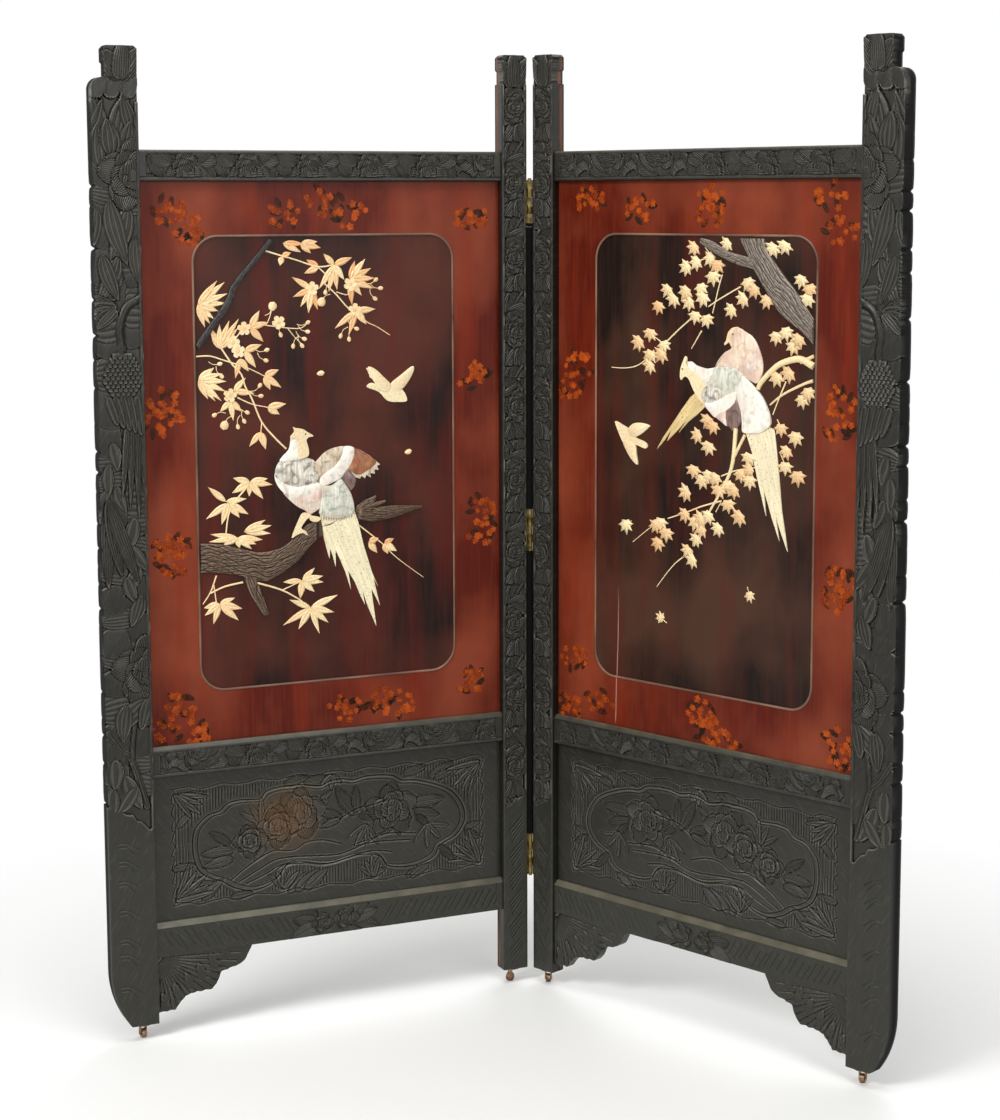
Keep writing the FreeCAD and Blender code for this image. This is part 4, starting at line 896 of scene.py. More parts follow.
flower_cuts = [((.409, .633), 50, 7), ((.346, .559), 40, 6), ((.267, .486), 33, 6), ((.674, .586),
               52, 8)]

for leaf, side in SIDES.items():
    heights = np.linspace(LOWER_LOW - TONGUE, LOWER_HIGH + TONGUE, LOWER_ROWS)
    piece, x, z, row, column = board_grid(f"{leaf}_carved_panel_cut", side, PANEL_NEAR - TONGUE,
                                          PANEL_FAR + TONGUE, heights, BOARD_STEP)
    wide, tall = PANEL_FAR - PANEL_NEAR, LOWER_HIGH - LOWER_LOW
    face = Relief(wide - (x * side - PANEL_NEAR), z - LOWER_LOW, 0, 1.7)
    dice = random.Random(31)
    outline = through([(fx * wide, fz * tall) for fx, fz in cloud], 3, closed=True)
    rim = np.array(outline)
    inset_x, inset_z = 0.055 * wide, 0.1 * tall
    frame_line = []
    for start, end in (((0, 0), (1, 0)), ((1, 0), (1, 1)), ((1, 1), (0, 1)), ((0, 1), (0, 0))):
        for step in range(FRAME_STEPS):
            s = step / FRAME_STEPS
            wave = 2.6 * math.sin(step * 0.9) + dice.uniform(-1, 1)
            frame_line.append((inset_x + (start[0] + (end[0] - start[0]) * s) * (wide - 2 * inset_x) + wave,
                               inset_z + (start[1] + (end[1] - start[1]) * s) * (tall - 2 * inset_z) + wave))
    for px in np.arange(inset_x + 5, wide - inset_x - 4, 5.6):
        over = rim[np.abs(rim[:, 0] - px) < 7, 1]
        top, base = (over.max() + 6, over.min() - 6) if len(over) else (tall / 2, tall / 2)
        for start, end in ((tall - inset_z - 5, top), (inset_z + 5, base)):
            if (start - end) * (start - tall / 2) > 0 and abs(start - end) > 4:
                face.line([(px, start), (px + dice.uniform(-1.5, 1.5), end)], *HATCH_CUT)
    for (fx, fz), (tip_x, tip_z) in leaf_cuts:
        dx, dz = (tip_x - fx) * wide, (tip_z - fz) * tall
        length = math.hypot(dx, dz)
        face.petal(fx * wide, fz * tall, length, max(0.36 * length, 12), math.degrees(math.atan2(dx, dz)),
                   -1.3, lines=3, rise=0.6, roll=0.5)
    for (fx, fz), leans, length in corner_fans:
        face.fan(fx * wide, fz * tall, leans, length, 10, -1.0, lines=1, rise=0.6, roll=0.4)
    for (fx, fz), radius, petals in flower_cuts:
        face.flower(fx * wide, fz * tall, radius, petals + 2, -2.0, 4)
    for points in branch_cuts:
        face.line(through([(fx * wide, fz * tall) for fx, fz in points]), *DEEP_CUT)
    face.line(outline, *DEEP_CUT)
    centre = (wide * 0.5, tall * 0.5)
    face.line([(centre[0] + (px - centre[0]) * 0.965, centre[1] + (pz - centre[1]) * 0.93)
               for px, pz in outline], *LIGHT_CUT)
    face.line(frame_line + frame_line[:1], *LIGHT_CUT)
    face.out = np.clip(face.out, -2.8, 0.3)
    # The lines are marked more strongly here, for darker painted shade in them and brighter painted
    # highlight at their rims.
    set_face(piece, x, PANEL_FRONT, z, face.out, row, column, face.score, 1.9)
    close_board(piece, (GROOVE_BACK - 0.1,))
    piece.data.materials.append(ebonised_wood(side, "level", WORN_PATCH if side < 0 else None))
    stand(piece, leaf, "ebonised_wood", f"{leaf}_carved_panel")

# Corner brackets
# Stepped brackets of ebonised wood below the bottom rail, tongued into the rail and the stile.
# Their faces are cut with lines that fan out from the corner. The left leaf has one, the right leaf two.
BRACKET_FRONT = 7
BRACKET_TOP, BRACKET_ROWS = 143, 50
bracket_drop = [(0, 100), (30, 99), (36, 92), (48, 78), (62, 73), (98, 71), (106, 62), (115, 42), (150, 33),
                (160, 24), (171, 3)]

for leaf, which in (("left", "outer"), ("right", "inner"), ("right", "outer")):
    side = SIDES[leaf]
    heights = np.linspace(0, 1, BRACKET_ROWS)
    piece, run, share, row, column = board_grid(f"{leaf}_{which}_bracket_cut", 1, 0, bracket_drop[-1][0],
                                                heights, 2)
    runs, drops = zip(*bracket_drop)
    drop = (1 - share) * (np.interp(run, runs, drops) - 1.4 * np.abs(np.sin(run / 5)))
    face = Relief(run, drop, 0)
    for count in range(15):
        turn = math.radians(4 + 6 * count)
        length = 150 - 4 * count
        bow = [(10 * math.cos(turn), 10 * math.sin(turn)),
               (length * 0.6 * math.cos(turn) + 3, length * 0.6 * math.sin(turn)),
               (length * math.cos(turn), length * math.sin(turn))]
        face.line(through(bow, 4), 3.6, 2.0)
    for count in range(6):
        face.petal(18 + 22 * count, 96 - 15 * count, 34, 15, 200, -0.3, veins=3)
    face.out = np.clip(face.out, -3.2, 0.6)
    outwards = side if which == "inner" else -side
    start = side * (PANEL_NEAR if which == "inner" else PANEL_FAR)
    set_face(piece, start + outwards * run, BRACKET_FRONT, BRACKET_TOP - drop, face.out, row, column)
    if outwards < 0:
        bpy.ops.object.mode_set(mode="EDIT")
        bpy.ops.mesh.select_all(action="SELECT")
        bpy.ops.mesh.flip_normals()
        bpy.ops.object.mode_set(mode="OBJECT")
    close_board(piece, (GROOVE_BACK - 0.1,))
    piece.data.materials.append(ebonised_wood(side, "level"))
    stand(piece, leaf, "ebonised_wood", f"{leaf}_{which}_bracket")

# Inlaid trunks
# Gnarled branches carved from dark wood, deeply grooved like bark, and glued down on the sunk field.
# The left one runs behind the bird that stands on it, and a black bough crosses the corner above.
WINDOW_LEFT = {"left": -(WINDOW_NEAR + WINDOW_WIDE), "right": WINDOW_NEAR}
TRUNK_THICK, BOUGH_THICK = 7, 5
BARK_STEP, ROWS_A_FURROW = 1.5, 7


def lay_in(piece, leaf, slot, *nodes):
    """Lay an inlay, drawn in the window's own millimetres, on the sunk field of its leaf."""
    piece.data.transform(Matrix.Translation((WINDOW_LEFT[leaf], FIELD_FRONT, WINDOW_LOW)))
    stand(piece, leaf, slot, *nodes)


def evenly(points, count):
    """Give so many points at even steps along a smooth line."""
    line = np.array(through(points))
    run = np.concatenate(([0], np.cumsum(np.hypot(*np.diff(line, axis=0).T))))
    at = np.linspace(0, run[-1], count)
    return np.column_stack((np.interp(at, run, line[:, 0]), np.interp(at, run, line[:, 1])))


def bark(name, upper, lower, thick, furrows, hidden=None):
    """Carve a length of trunk between its two edges in wandering furrows, lower where it is hidden."""
    columns = max(12, round(math.dist(upper[0], upper[-1]) / BARK_STEP))
    rows = ROWS_A_FURROW * furrows
    piece, along, across, row, column = face_grid(name, np.zeros(rows), np.ones(rows),
                                                  np.linspace(0, 1, rows), 1 / columns)
    far, near = evenly(upper, columns + 1)[column], evenly(lower, columns + 1)[column]
    place = near + (far - near) * across[:, None]
    out = thick * (0.3 + 0.7 * np.sqrt(np.clip(1 - (2 * across - 1) ** 2, 0, 1)))
    dice = random.Random(name)
    length = columns * BARK_STEP
    for pitch, depth in ((0.35, 0.22), (0.6, 0.2), (0.9, 0.2), (1.3, 0.16), (1.9, 0.12)):
        wander = sum(dice.uniform(0.15, 0.4)
                     * np.sin(2 * np.pi * length * along / dice.uniform(40, 160) + dice.uniform(0, 6))
                     for wave in range(3))
        cut = 1 - np.abs(np.sin(np.pi * (furrows * pitch * across + wander)))
        fade = 0.6 + 0.4 * np.sin(2 * np.pi * length * along / dice.uniform(30, 90) + 5 * across
                                  + dice.uniform(0, 6))
        out -= depth * thick * fade * cut ** 3
    if hidden:
        lowered = 0.72 * np.clip((place[:, 0] - hidden[0]) / 6, 0, 1)
        out *= 1 - lowered * np.clip((hidden[1] - place[:, 0]) / 6, 0, 1)
    set_face(piece, place[:, 0], 0, place[:, 1], np.maximum(out, 0.4), row, column)
    close_board(piece, (0,))
    return piece


def carved_trunk(name, side, dark, pale):
    """Carved and oiled hardwood: dark in the furrows and paler along the ridges, partly rubbed, partly
    painted highlight.
    """
    material, add = new_material(name, IOR=1.5, Specular_IOR_Level=0.3)
    place = leaf_place(add, side)
    fibre = add("TexNoise", {"Vector": place, "Scale": 1 / 5, "Detail": 5})
    edge = add("Attribute", attribute_name="edge", out="Fac")
    # Ridges are painted paler: rubbed wear and painted highlight where they catch the light.
    ridge_wear_and_highlight = add("MapRange", {"Value": edge, "From Min": -0.25, "From Max": 0.35})
    share = add("Math", {0: ridge_wear_and_highlight, 1: fibre}, operation="MULTIPLY")
    boost = add("MapRange", {"Value": share, "From Min": 0.1, "From Max": 0.5})
    colour = add("Mix", {0: boost, 6: dark, 7: pale}, data_type="RGBA", out=2)
    gloss = add("MapRange", {"Value": fibre, "To Min": 0.35, "To Max": 0.6})
    bump = add("Bump", {"Height": fibre, "Strength": 0.3, "Distance": 0.0005})
    return wired(material, Base_Color=colour, Roughness=gloss, Normal=bump)


left_bark = [
    bark("left_trunk", [(1, 256), (39, 252), (84, 239), (113, 234), (145, 239), (171, 256), (191, 275),
                        (218, 284), (250, 292), (281, 300), (320, 300), (360, 301), (408, 298)],
         [(1, 204), (29, 203), (70, 195), (109, 183), (128, 185), (171, 210), (201, 240), (224, 256),
          (260, 272), (284, 280), (318, 275), (360, 281), (407, 293)], TRUNK_THICK, 7, hidden=(208, 292)),
    bark("left_fork", [(286, 304), (300, 313), (322, 321)], [(284, 292), (312, 300), (321, 313)],
         TRUNK_THICK - 2, 3),
    bark("left_stub", [(101, 190), (111, 160), (122, 124)], [(76, 194), (92, 153), (113, 122)],
         TRUNK_THICK - 2, 3),
    bark("left_bough", [(140, 766), (110, 732), (74, 689), (67, 668), (54, 646), (34, 622), (14, 597),
                        (6, 585)], [(133, 772), (103, 738), (66, 696), (57, 676), (44, 654), (26, 630),
                                    (6, 604), (1, 595)], BOUGH_THICK, 3),
    bark("left_splinter", [(288, 300), (310, 307), (340, 312)], [(286, 293), (312, 298), (339, 307)],
         TRUNK_THICK - 2, 2),
]
oiled_trunk = carved_trunk("dark_carved_trunk", -1, "#251912", "#806853")
black_bough = carved_trunk("black_carved_bough", -1, "#100f0e", "#4d4a46")
for piece in left_bark:
    piece.data.materials.append(black_bough if piece.name == "left_bough" else oiled_trunk)
left_trunk = joined("left_trunk_carved", left_bark)
lay_in(left_trunk, "left", "carved_trunk", "left_trunk_inlay")
right_bark = [
    bark("right_trunk", [(364, 772), (373, 750), (406, 712), (427, 691), (466, 645)],
         [(314, 772), (331, 742), (349, 713), (380, 671), (404, 647), (446, 620), (466, 602)], TRUNK_THICK,
         7),
    bark("right_fork", [(233, 772), (256, 767), (294, 750), (334, 742)],
         [(231, 763), (263, 746), (309, 729), (345, 722)], TRUNK_THICK - 1, 4),
]
right_trunk = joined("right_trunk_carved", right_bark)
right_trunk.data.materials.append(carved_trunk("grey_carved_trunk", 1, "#463c34", "#988b7d"))
lay_in(right_trunk, "right", "carved_trunk", "right_trunk_inlay")

# Pheasants
# Three birds pieced together from plates of mother-of-pearl and stained shell over a thin body plate,
# with heads, feet and long notched tails sawn from bone. Every plate is bevelled and glued down.
BODY_PLATE, TAIL_PLATE = 2.6, 1.9
PLATE_BEVEL, CROWN_EDGE = 0.5, 1.6


def plate(points, high, material, low=0, crown=0.5, smooth=True):
    """Saw a plate to an outline, with a bevelled edge and, if its outline is smooth, a raised middle."""
    area = sum(x0 * z1 - x1 * z0 for (x0, z0), (x1, z1) in zip(points, points[1:] + points[:1]))
    ring = points if area > 0 else points[::-1]
    if smooth:
        ring = through(ring, 3, closed=True)[:-1]
    bpy.ops.object.select_all(action="DESELECT")
    bpy.ops.mesh.primitive_circle_add(vertices=len(ring), radius=1, fill_type="NGON")
    piece = bpy.context.object
    for vertex, (x, z) in zip(piece.data.vertices, ring):
        vertex.co = (x, PLATE_BEVEL - high, z)
    bpy.ops.object.mode_set(mode="EDIT")
    bpy.ops.mesh.select_mode(type="FACE")
    bpy.ops.mesh.select_all(action="SELECT")
    bpy.ops.mesh.inset(thickness=PLATE_BEVEL, depth=PLATE_BEVEL, use_even_offset=False)
    if smooth and crown:
        bpy.ops.mesh.inset(thickness=CROWN_EDGE, depth=crown, use_even_offset=False)
    bpy.ops.object.mode_set(mode="OBJECT")
    close_board(piece, (-low,))
    piece.data.materials.append(material)
    return piece


def strip_blank(name, profile, thick, crease, columns=4, rows=8):
    """Shape one leaf or feather a unit long and wide, creased along its middle."""
    heights = np.linspace(0, 1, rows + 1)
    half = np.array([max(profile(share), 0.03) for share in heights]) / 2
    piece, x, z, row, column = face_grid(name, -half, half, heights, 2 * half.max() / columns)
    side = x / half[row]
    out = thick * (1 - 0.5 * side ** 2) - crease * thick * np.exp(-(side / 0.2) ** 2)
    set_face(piece, x, 0, z, out, row, column)
    close_board(piece, (0,))
    return piece


def blade(blank, base, tip, width, lift, tint=0.0):
    """Lay a copy of a blank from base to tip."""
    dx, dz = tip[0] - base[0], tip[1] - base[1]
    return set_copy(blank, base[0], base[1], math.hypot(dx, dz), width, math.degrees(math.atan2(dx, dz)),
                    lift, tint)


def bone(name, side, clean, stained, lean=None):
    """Cattle bone, sawn and polished: warm ivory with fine grain, flecked, stained orange here and there."""
    material, add = new_material(name, IOR=1.54, Specular_IOR_Level=0.3)
    place = leaf_place(add, side)
    turned = add("Mapping", {"Vector": place, "Rotation": (0, math.radians(lean or 0), 0)})
    along = add("Mapping", {"Vector": turned, "Scale": (1 / 2.2, 1 / 3, 1 / (40 if lean else 4))})
    grain = add("TexNoise", {"Vector": along, "Scale": 1, "Detail": 3})
    cloud = add("TexNoise", {"Vector": place, "Scale": 1 / 60, "Detail": 2})
    fleck = add("TexNoise", {"Vector": place, "Scale": 1 / 3.4, "Detail": 1})
    tint = add("Attribute", attribute_name="tint", out="Fac")
    lightly = add("MapRange", {"Value": cloud, "From Min": 0.42, "From Max": 0.7, "To Max": 0.3})
    stain = add("Math", {0: lightly, 1: tint}, operation="ADD")
    share = add("Clamp", {"Value": stain})
    tone = add("Mix", {0: share, 6: clean, 7: stained}, data_type="RGBA", out=2)
    worn = add("MapRange", {"Value": grain, "From Min": 0.3, "From Max": 0.7, "To Min": 0.8, "To Max": 1.08})
    spots = add("MapRange", {"Value": fleck, "From Min": 0.62, "From Max": 0.72, "To Min": 1,
                             "To Max": 0.55 if lean else 0.9})
    level = add("Math", {0: worn, 1: spots}, operation="MULTIPLY")
    colour = add("VectorMath", {0: tone, "Scale": level}, operation="SCALE")
    gloss = add("MapRange", {"Value": grain, "To Min": 0.3, "To Max": 0.55})
    bump = add("Bump", {"Height": grain, "Strength": 0.2, "Distance": 0.0004})
    return wired(material, Base_Color=colour, Roughness=gloss, Normal=bump)


def shell(name, pale, deep, flush, ribbed=0.1):
    """Mother-of-pearl or stained shell: a satin sheen in fine ribs, drifting from pale to deep."""
    material, add = new_material(name, IOR=1.6, Specular_IOR_Level=0.4)
    place = add("TexCoord", out="Object")
    drift = add("TexNoise", {"Vector": place, "Scale": 1000 / 17, "Detail": 4, "Distortion": 1.6})
    cloud = add("TexNoise", {"Vector": place, "Scale": 1000 / 34, "Detail": 2})
    fine = add("Mapping", {"Vector": place, "Scale": (1000 / 2.6, 1000 / 2.6, 1000 / 26)})
    ribs = add("TexNoise", {"Vector": fine, "Scale": 1, "Detail": 2})
    deepen = add("MapRange", {"Value": drift, "From Min": 0.45, "From Max": 0.64})
    base = add("Mix", {0: deepen, 6: pale, 7: deep}, data_type="RGBA", out=2)
    pinken = add("MapRange", {"Value": cloud, "From Min": 0.5, "From Max": 0.68, "To Max": 0.8})
    pink = add("Mix", {0: pinken, 6: base, 7: flush}, data_type="RGBA", out=2)
    line = add("MapRange", {"Value": ribs, "From Min": 0.35, "From Max": 0.65, "To Min": 1 - ribbed,
                            "To Max": 1 + 0.4 * ribbed})
    colour = add("VectorMath", {0: pink, "Scale": line}, operation="SCALE")
    gloss = add("MapRange", {"Value": drift, "To Min": 0.15, "To Max": 0.4})
    bump = add("Bump", {"Height": ribs, "Strength": 0.2, "Distance": 0.0004})
    return wired(material, Base_Color=colour, Roughness=gloss, Normal=bump)


ivory_bone = {leaf: bone(f"polished_bone_{leaf}", side, "#f7e6ba", "#e3a678")
              for leaf, side in SIDES.items()}
white_shell = shell("white_mother_of_pearl", "#faf5e8", "#dcd3c3", "#f1e6d8", 0.08)
grey_shell = shell("grey_mother_of_pearl", "#e0d9ca", "#857d71", "#c4b4a4", 0.28)
rump_shell = shell("pale_green_mother_of_pearl", "#e0dfcf", "#a7aa9b", "#d3c6b0", 0.14)
pink_shell = shell("pink_mother_of_pearl", "#ecdfcd", "#c4ad9c", "#d9b2a2", 0.14)
beige_shell = shell("beige_mother_of_pearl", "#dccdb4", "#a58f74", "#c6a07c", 0.16)
plum_shell = shell("plum_mother_of_pearl", "#8a7168", "#5f4d48", "#a8806f", 0.3)
brown_shell = shell("brown_tortoise_shell", "#a8653f", "#7d4a28", "#c49567", 0.2)
peach_shell = shell("peach_mother_of_pearl", "#ecd9c2", "#d2b59a", "#e0b8a4", 0.1)
horn_eye = shell("dark_horn", "#3c2a20", "#2b1d16", "#4a3226")
feather_blank = strip_blank("feather_blank",
                            lambda s: (0.7 + 0.3 * min(s / 0.3, 1)) * min(1, (1 - s) / 0.42) ** 0.8, 1.5,
                            0.3)
eye_blank = rim_plate("eye_blank", [(turn, 1) for turn in range(0, 360, 45)], 0.4, 0.6)
eye_blank.data.materials.append(horn_eye)


def hem(points, length, width, lean, lift, material):
    """Lay a row of short feather ends along a line."""
    row = [set_copy(feather_blank, x, z, length, width, lean, lift, 0) for x, z in points]
    for piece in row:
        piece.data.materials.clear()
        piece.data.materials.append(material)
    return row


bone_plate = ivory_bone["left"]
left_tail_bone = bone("grained_tail_bone_left", -1, "#f7ecc6", "#e6d3a4", 20)
left_bird = [
    plate([(152, 383), (175, 388), (198, 389), (207, 380), (216, 356), (218, 312), (213, 304), (198, 300),
           (179, 314), (157, 338), (144, 362)], BODY_PLATE - 0.6, grey_shell),
    plate([(168, 432), (166, 426), (164, 413), (159, 405), (151, 398), (146, 389), (163, 388), (173, 391),
           (182, 394), (180, 402), (180, 414), (179, 428)], BODY_PLATE, white_shell),
    plate([(171, 448), (176, 446), (188, 444), (196, 439), (208, 431), (199, 429), (195, 424), (197, 416),
           (199, 406), (198, 397), (189, 393), (180, 394), (178, 412), (177, 425), (168, 427), (166, 432),
           (173, 440)], BODY_PLATE + 0.5, bone_plate, crown=0),
    plate([(146, 389), (140, 381), (137, 369), (143, 356), (156, 348), (173, 342), (191, 344), (219, 348),
           (220, 359), (211, 372), (210, 386), (201, 392), (189, 394), (173, 392), (158, 388)],
          BODY_PLATE + 0.3, grey_shell),
    plate([(137, 369), (137, 358), (143, 345), (152, 335), (162, 331), (180, 327), (197, 328), (211, 333),
           (222, 341), (219, 350), (197, 347), (173, 344), (156, 351), (143, 359)], BODY_PLATE + 0.6,
          white_shell),
    plate([(151, 336), (162, 322), (177, 309), (191, 301), (198, 294), (206, 297), (217, 304), (220, 316),
           (222, 330), (222, 342), (211, 337), (194, 331), (173, 332)], BODY_PLATE + 0.2, pink_shell),
    plate([(273, 373), (276, 365), (285, 353), (285, 343), (276, 332), (268, 343), (254, 354), (263, 366)],
          BODY_PLATE - 0.4, plum_shell),
    plate([(280, 408), (293, 403), (310, 393), (327, 379), (331, 375), (325, 373), (328, 366), (320, 366),
           (321, 359), (312, 361), (313, 353), (305, 358), (302, 352), (296, 357), (293, 352), (284, 355),
           (274, 368), (271, 374), (278, 392)], BODY_PLATE, beige_shell, smooth=False),
    plate([(279, 408), (293, 402), (309, 393), (323, 381), (318, 373), (305, 365), (292, 359), (280, 363),
           (272, 372), (279, 392)], BODY_PLATE + 0.5, brown_shell),
    plate([(210, 383), (213, 387), (225, 399), (235, 405), (247, 409), (265, 410), (262, 398), (256, 387),
           (247, 376), (236, 368), (222, 360), (213, 366)], BODY_PLATE + 0.7, beige_shell),
    plate([(263, 410), (281, 408), (282, 394), (275, 377), (266, 366), (256, 354), (242, 348), (228, 343),
           (219, 345), (219, 358), (234, 370), (245, 376), (254, 387), (260, 398)], BODY_PLATE + 1.0,
          white_shell),
    plate([(218, 294), (220, 283), (225, 251), (233, 219), (235, 214), (236, 231), (240, 221), (246, 199),
           (246, 228), (254, 212), (264, 188), (274, 156), (269, 190), (282, 168), (292, 143), (300, 127),
           (295, 154), (305, 124), (321, 87), (312, 155), (320, 140), (328, 124), (316, 175), (325, 158),
           (314, 184), (298, 237), (289, 276), (280, 302), (250, 304)], TAIL_PLATE, left_tail_bone,
          smooth=False),
    plate([(222, 343), (240, 343), (256, 353), (265, 344), (274, 330), (280, 312), (281, 294), (273, 290),
           (264, 286), (249, 284), (233, 287), (218, 293), (217, 301), (220, 316), (222, 330)],
          BODY_PLATE + 1.3, rump_shell),
    plate([(186, 298), (176, 282), (165, 256), (172, 259), (184, 263), (194, 257), (190, 266), (182, 272),
           (192, 286), (201, 293)], TRUNK_THICK - 0.4, bone_plate, 2, 0),
    plate([(198, 292), (200, 283), (212, 281), (218, 288)], TRUNK_THICK - 0.6, bone_plate, 2, 0),
    set_copy(eye_blank, 193, 435, 1.5, 1.5, 0, BODY_PLATE + 0.8),
]
left_bird += hem([(220 + 4.7 * count, 289 - 0.9 * count + 0.08 * count ** 2) for count in range(13)], 7, 3.6,
                 178, TAIL_PLATE - 0.9, beige_shell)
lay_in(joined("left_pheasant_pieced", left_bird), "left", "mother_of_pearl", "left_pheasant_inlay")

bone_plate = ivory_bone["right"]
back_tail_bone = bone("grained_tail_bone_slanting", 1, "#e2c88f", "#b9975c", -46)
back_bird = [
    plate([(306, 626), (316, 624), (329, 618), (341, 612), (350, 602), (358, 587), (363, 572), (364, 558),
           (360, 545), (352, 535), (340, 538), (324, 546), (318, 552), (303, 558), (284, 558), (264, 556),
           (264, 559), (272, 571), (284, 583), (296, 589), (298, 596), (295, 612)], BODY_PLATE - 0.4,
          peach_shell),
    plate([(306, 626), (316, 624), (323, 620), (319, 607), (309, 599), (299, 593), (296, 596), (293, 600),
           (289, 598), (284, 595), (283, 598), (287, 603), (289, 611), (292, 618), (299, 624)], BODY_PLATE,
          bone_plate, crown=0),
    plate([(343, 584), (352, 592), (361, 574), (355, 558), (335, 547), (325, 546), (306, 558), (320, 565),
           (332, 571)], BODY_PLATE, pink_shell),
    plate([(222, 512), (211, 504), (193, 483), (170, 454), (152, 432), (138, 410), (156, 428), (171, 447),
           (161, 426), (182, 444), (205, 466), (186, 442), (206, 461), (224, 474), (244, 490), (250, 500),
           (238, 512)], TAIL_PLATE, back_tail_bone, smooth=False),
    set_copy(eye_blank, 302, 614, 1.6, 1.6, 0, BODY_PLATE + 0.4),
]
lay_in(joined("right_back_pheasant_pieced", back_bird), "right", "mother_of_pearl",
       "right_back_pheasant_inlay")

front_tail_bone = bone("grained_tail_bone_right", 1, "#f2e4bf", "#e0cb9a", 15)
front_bird = [
    plate([(254, 550), (300, 554), (320, 544), (311, 520), (316, 494), (316, 470), (304, 460), (270, 478),
           (250, 492), (243, 512)], BODY_PLATE - 0.3, grey_shell),
    plate([(200, 573), (204, 567), (202, 561), (211, 553), (220, 548), (230, 541), (239, 533), (250, 528),
           (243, 520), (238, 513), (239, 505), (244, 494), (234, 499), (223, 510), (215, 522), (209, 533),
           (203, 538), (196, 537), (192, 532), (189, 536), (189, 545), (190, 552), (194, 562)],
          BODY_PLATE + 0.6, bone_plate, crown=0),
    plate([(204, 563), (208, 564), (214, 564), (223, 559), (234, 556), (248, 554), (263, 556), (259, 545),
           (251, 532), (241, 532), (230, 541), (218, 548), (209, 554)], BODY_PLATE + 0.9, white_shell,
          crown=0),
    plate([(261, 556), (275, 558), (292, 559), (306, 558), (318, 552), (325, 547), (318, 537), (313, 526),
           (311, 518), (296, 513), (281, 508), (262, 516), (241, 520), (251, 531), (258, 543)],
          BODY_PLATE + 0.7, rump_shell),
    plate([(241, 520), (251, 527), (265, 523), (281, 521), (285, 511), (269, 500), (257, 496), (245, 495),
           (239, 501), (236, 511)], BODY_PLATE + 1.0, grey_shell),
    plate([(244, 497), (258, 498), (276, 505), (293, 514), (310, 519), (311, 511), (306, 499), (292, 487),
           (276, 479), (266, 473), (255, 481), (246, 489)], BODY_PLATE + 1.2, white_shell),
    plate([(266, 475), (276, 481), (291, 489), (305, 500), (311, 506), (319, 494), (323, 480), (319, 466),
           (304, 453), (297, 458), (285, 464), (274, 470)], BODY_PLATE + 0.5, plum_shell),
    plate([(265, 476), (276, 482), (289, 488), (290, 474), (292, 460), (280, 466)], BODY_PLATE + 0.9,
          pink_shell),
    plate([(330, 452), (343, 420), (355, 376), (363, 350), (374, 316), (369, 359), (378, 335), (386, 313),
           (402, 277), (394, 317), (405, 290), (419, 261), (412, 300), (406, 330), (400, 384), (394, 428),
           (389, 460), (372, 468), (350, 462)], TAIL_PLATE, front_tail_bone, smooth=False),
    plate([(324, 546), (319, 539), (313, 527), (312, 518), (315, 502), (321, 484), (323, 467), (325, 452),
           (345, 452), (361, 454), (375, 461), (382, 470), (381, 481), (374, 497), (364, 513), (352, 525),
           (339, 536)], BODY_PLATE + 1.5, white_shell),
    set_copy(eye_blank, 195, 551, 1.5, 1.5, 0, BODY_PLATE + 0.9),
]
front_bird += hem([(334 + 4.2 * count, 455 + 0.11 * count ** 2) for count in range(12)], 6.5, 2.6, 172,
                  TAIL_PLATE - 0.9, brown_shell)
lay_in(joined("right_front_pheasant_pieced", front_bird), "right", "mother_of_pearl",
       "right_front_pheasant_inlay")

# Small birds
# Two little birds in flight, each sawn from bone in a few plates, with cut feather tips.
# Their plates overlap like those of the pheasants and are glued down on the sunk field.
left_flier = [
    plate([(308, 512), (314, 519), (324, 517), (334, 504), (352, 514), (374, 506), (383, 486), (366, 484),
           (346, 487), (330, 503)], 3, ivory_bone["left"], crown=0),
    plate([(311, 548), (324, 543), (339, 529), (353, 514), (346, 503), (332, 506), (322, 520), (313, 536)],
          3.4, ivory_bone["left"]),
    plate([(352, 516), (370, 530), (393, 546), (396, 539), (387, 522), (374, 507), (362, 505)], 3.6,
          ivory_bone["left"]),
]
left_flier += hem([(318, 534), (315, 540), (320, 528)], 10, 6, -55, 1.2, ivory_bone["left"])
lay_in(joined("left_small_bird_sawn", left_flier), "left", "bone", "left_small_bird_inlay")
right_flier = [
    plate([(43, 452), (60, 447), (74, 441), (88, 428), (110, 421), (117, 415), (112, 409), (92, 414),
           (74, 412), (62, 416), (52, 432)], 3, ivory_bone["right"], crown=0),
    plate([(74, 440), (86, 451), (104, 453), (121, 450), (117, 444), (98, 431), (84, 428)], 3.6,
          ivory_bone["right"]),
    plate([(62, 418), (70, 402), (82, 388), (95, 380), (92, 400), (90, 414), (76, 420)], 3.4,
          ivory_bone["right"]),
]
lay_in(joined("right_small_bird_sawn", right_flier), "right", "bone", "right_small_bird_inlay")

# Foliage
# Bamboo, blossom and maple cut from thin bone, some of it stained orange, with bone twigs between.
# Leaves, petals and buds are sawn one by one and glued down; those of a kind share one shape.
narrow_leaf = strip_blank("narrow_leaf_blank", lambda s: math.sin(math.pi * s ** 0.75), 1.7, 0.5, 4, 7)
bud_blank = strip_blank("bud_blank", lambda s: math.sqrt(max(0, 1 - (2 * s ** 1.25 - 1) ** 2)), 2.4, 0, 4, 6)
flower_blank = rim_plate("flower_blank", blossom_rim(0.62), 1.9, 1.3)
heart_blank = rim_plate("flower_heart_blank", [(turn, 1) for turn in range(0, 360, 45)], 2.3, 3.0)
maple_half = ((0, 1.14), (19, 0.6), (41, 1.02), (62, 0.56), (86, 0.9), (110, 0.5), (136, 0.56), (168, 0.36))
maple_rim = list(maple_half) + [(360 - turn, reach) for turn, reach in maple_half[:0:-1]]
maple_blank = rim_plate("maple_blank", maple_rim, 1.7, 2.3)
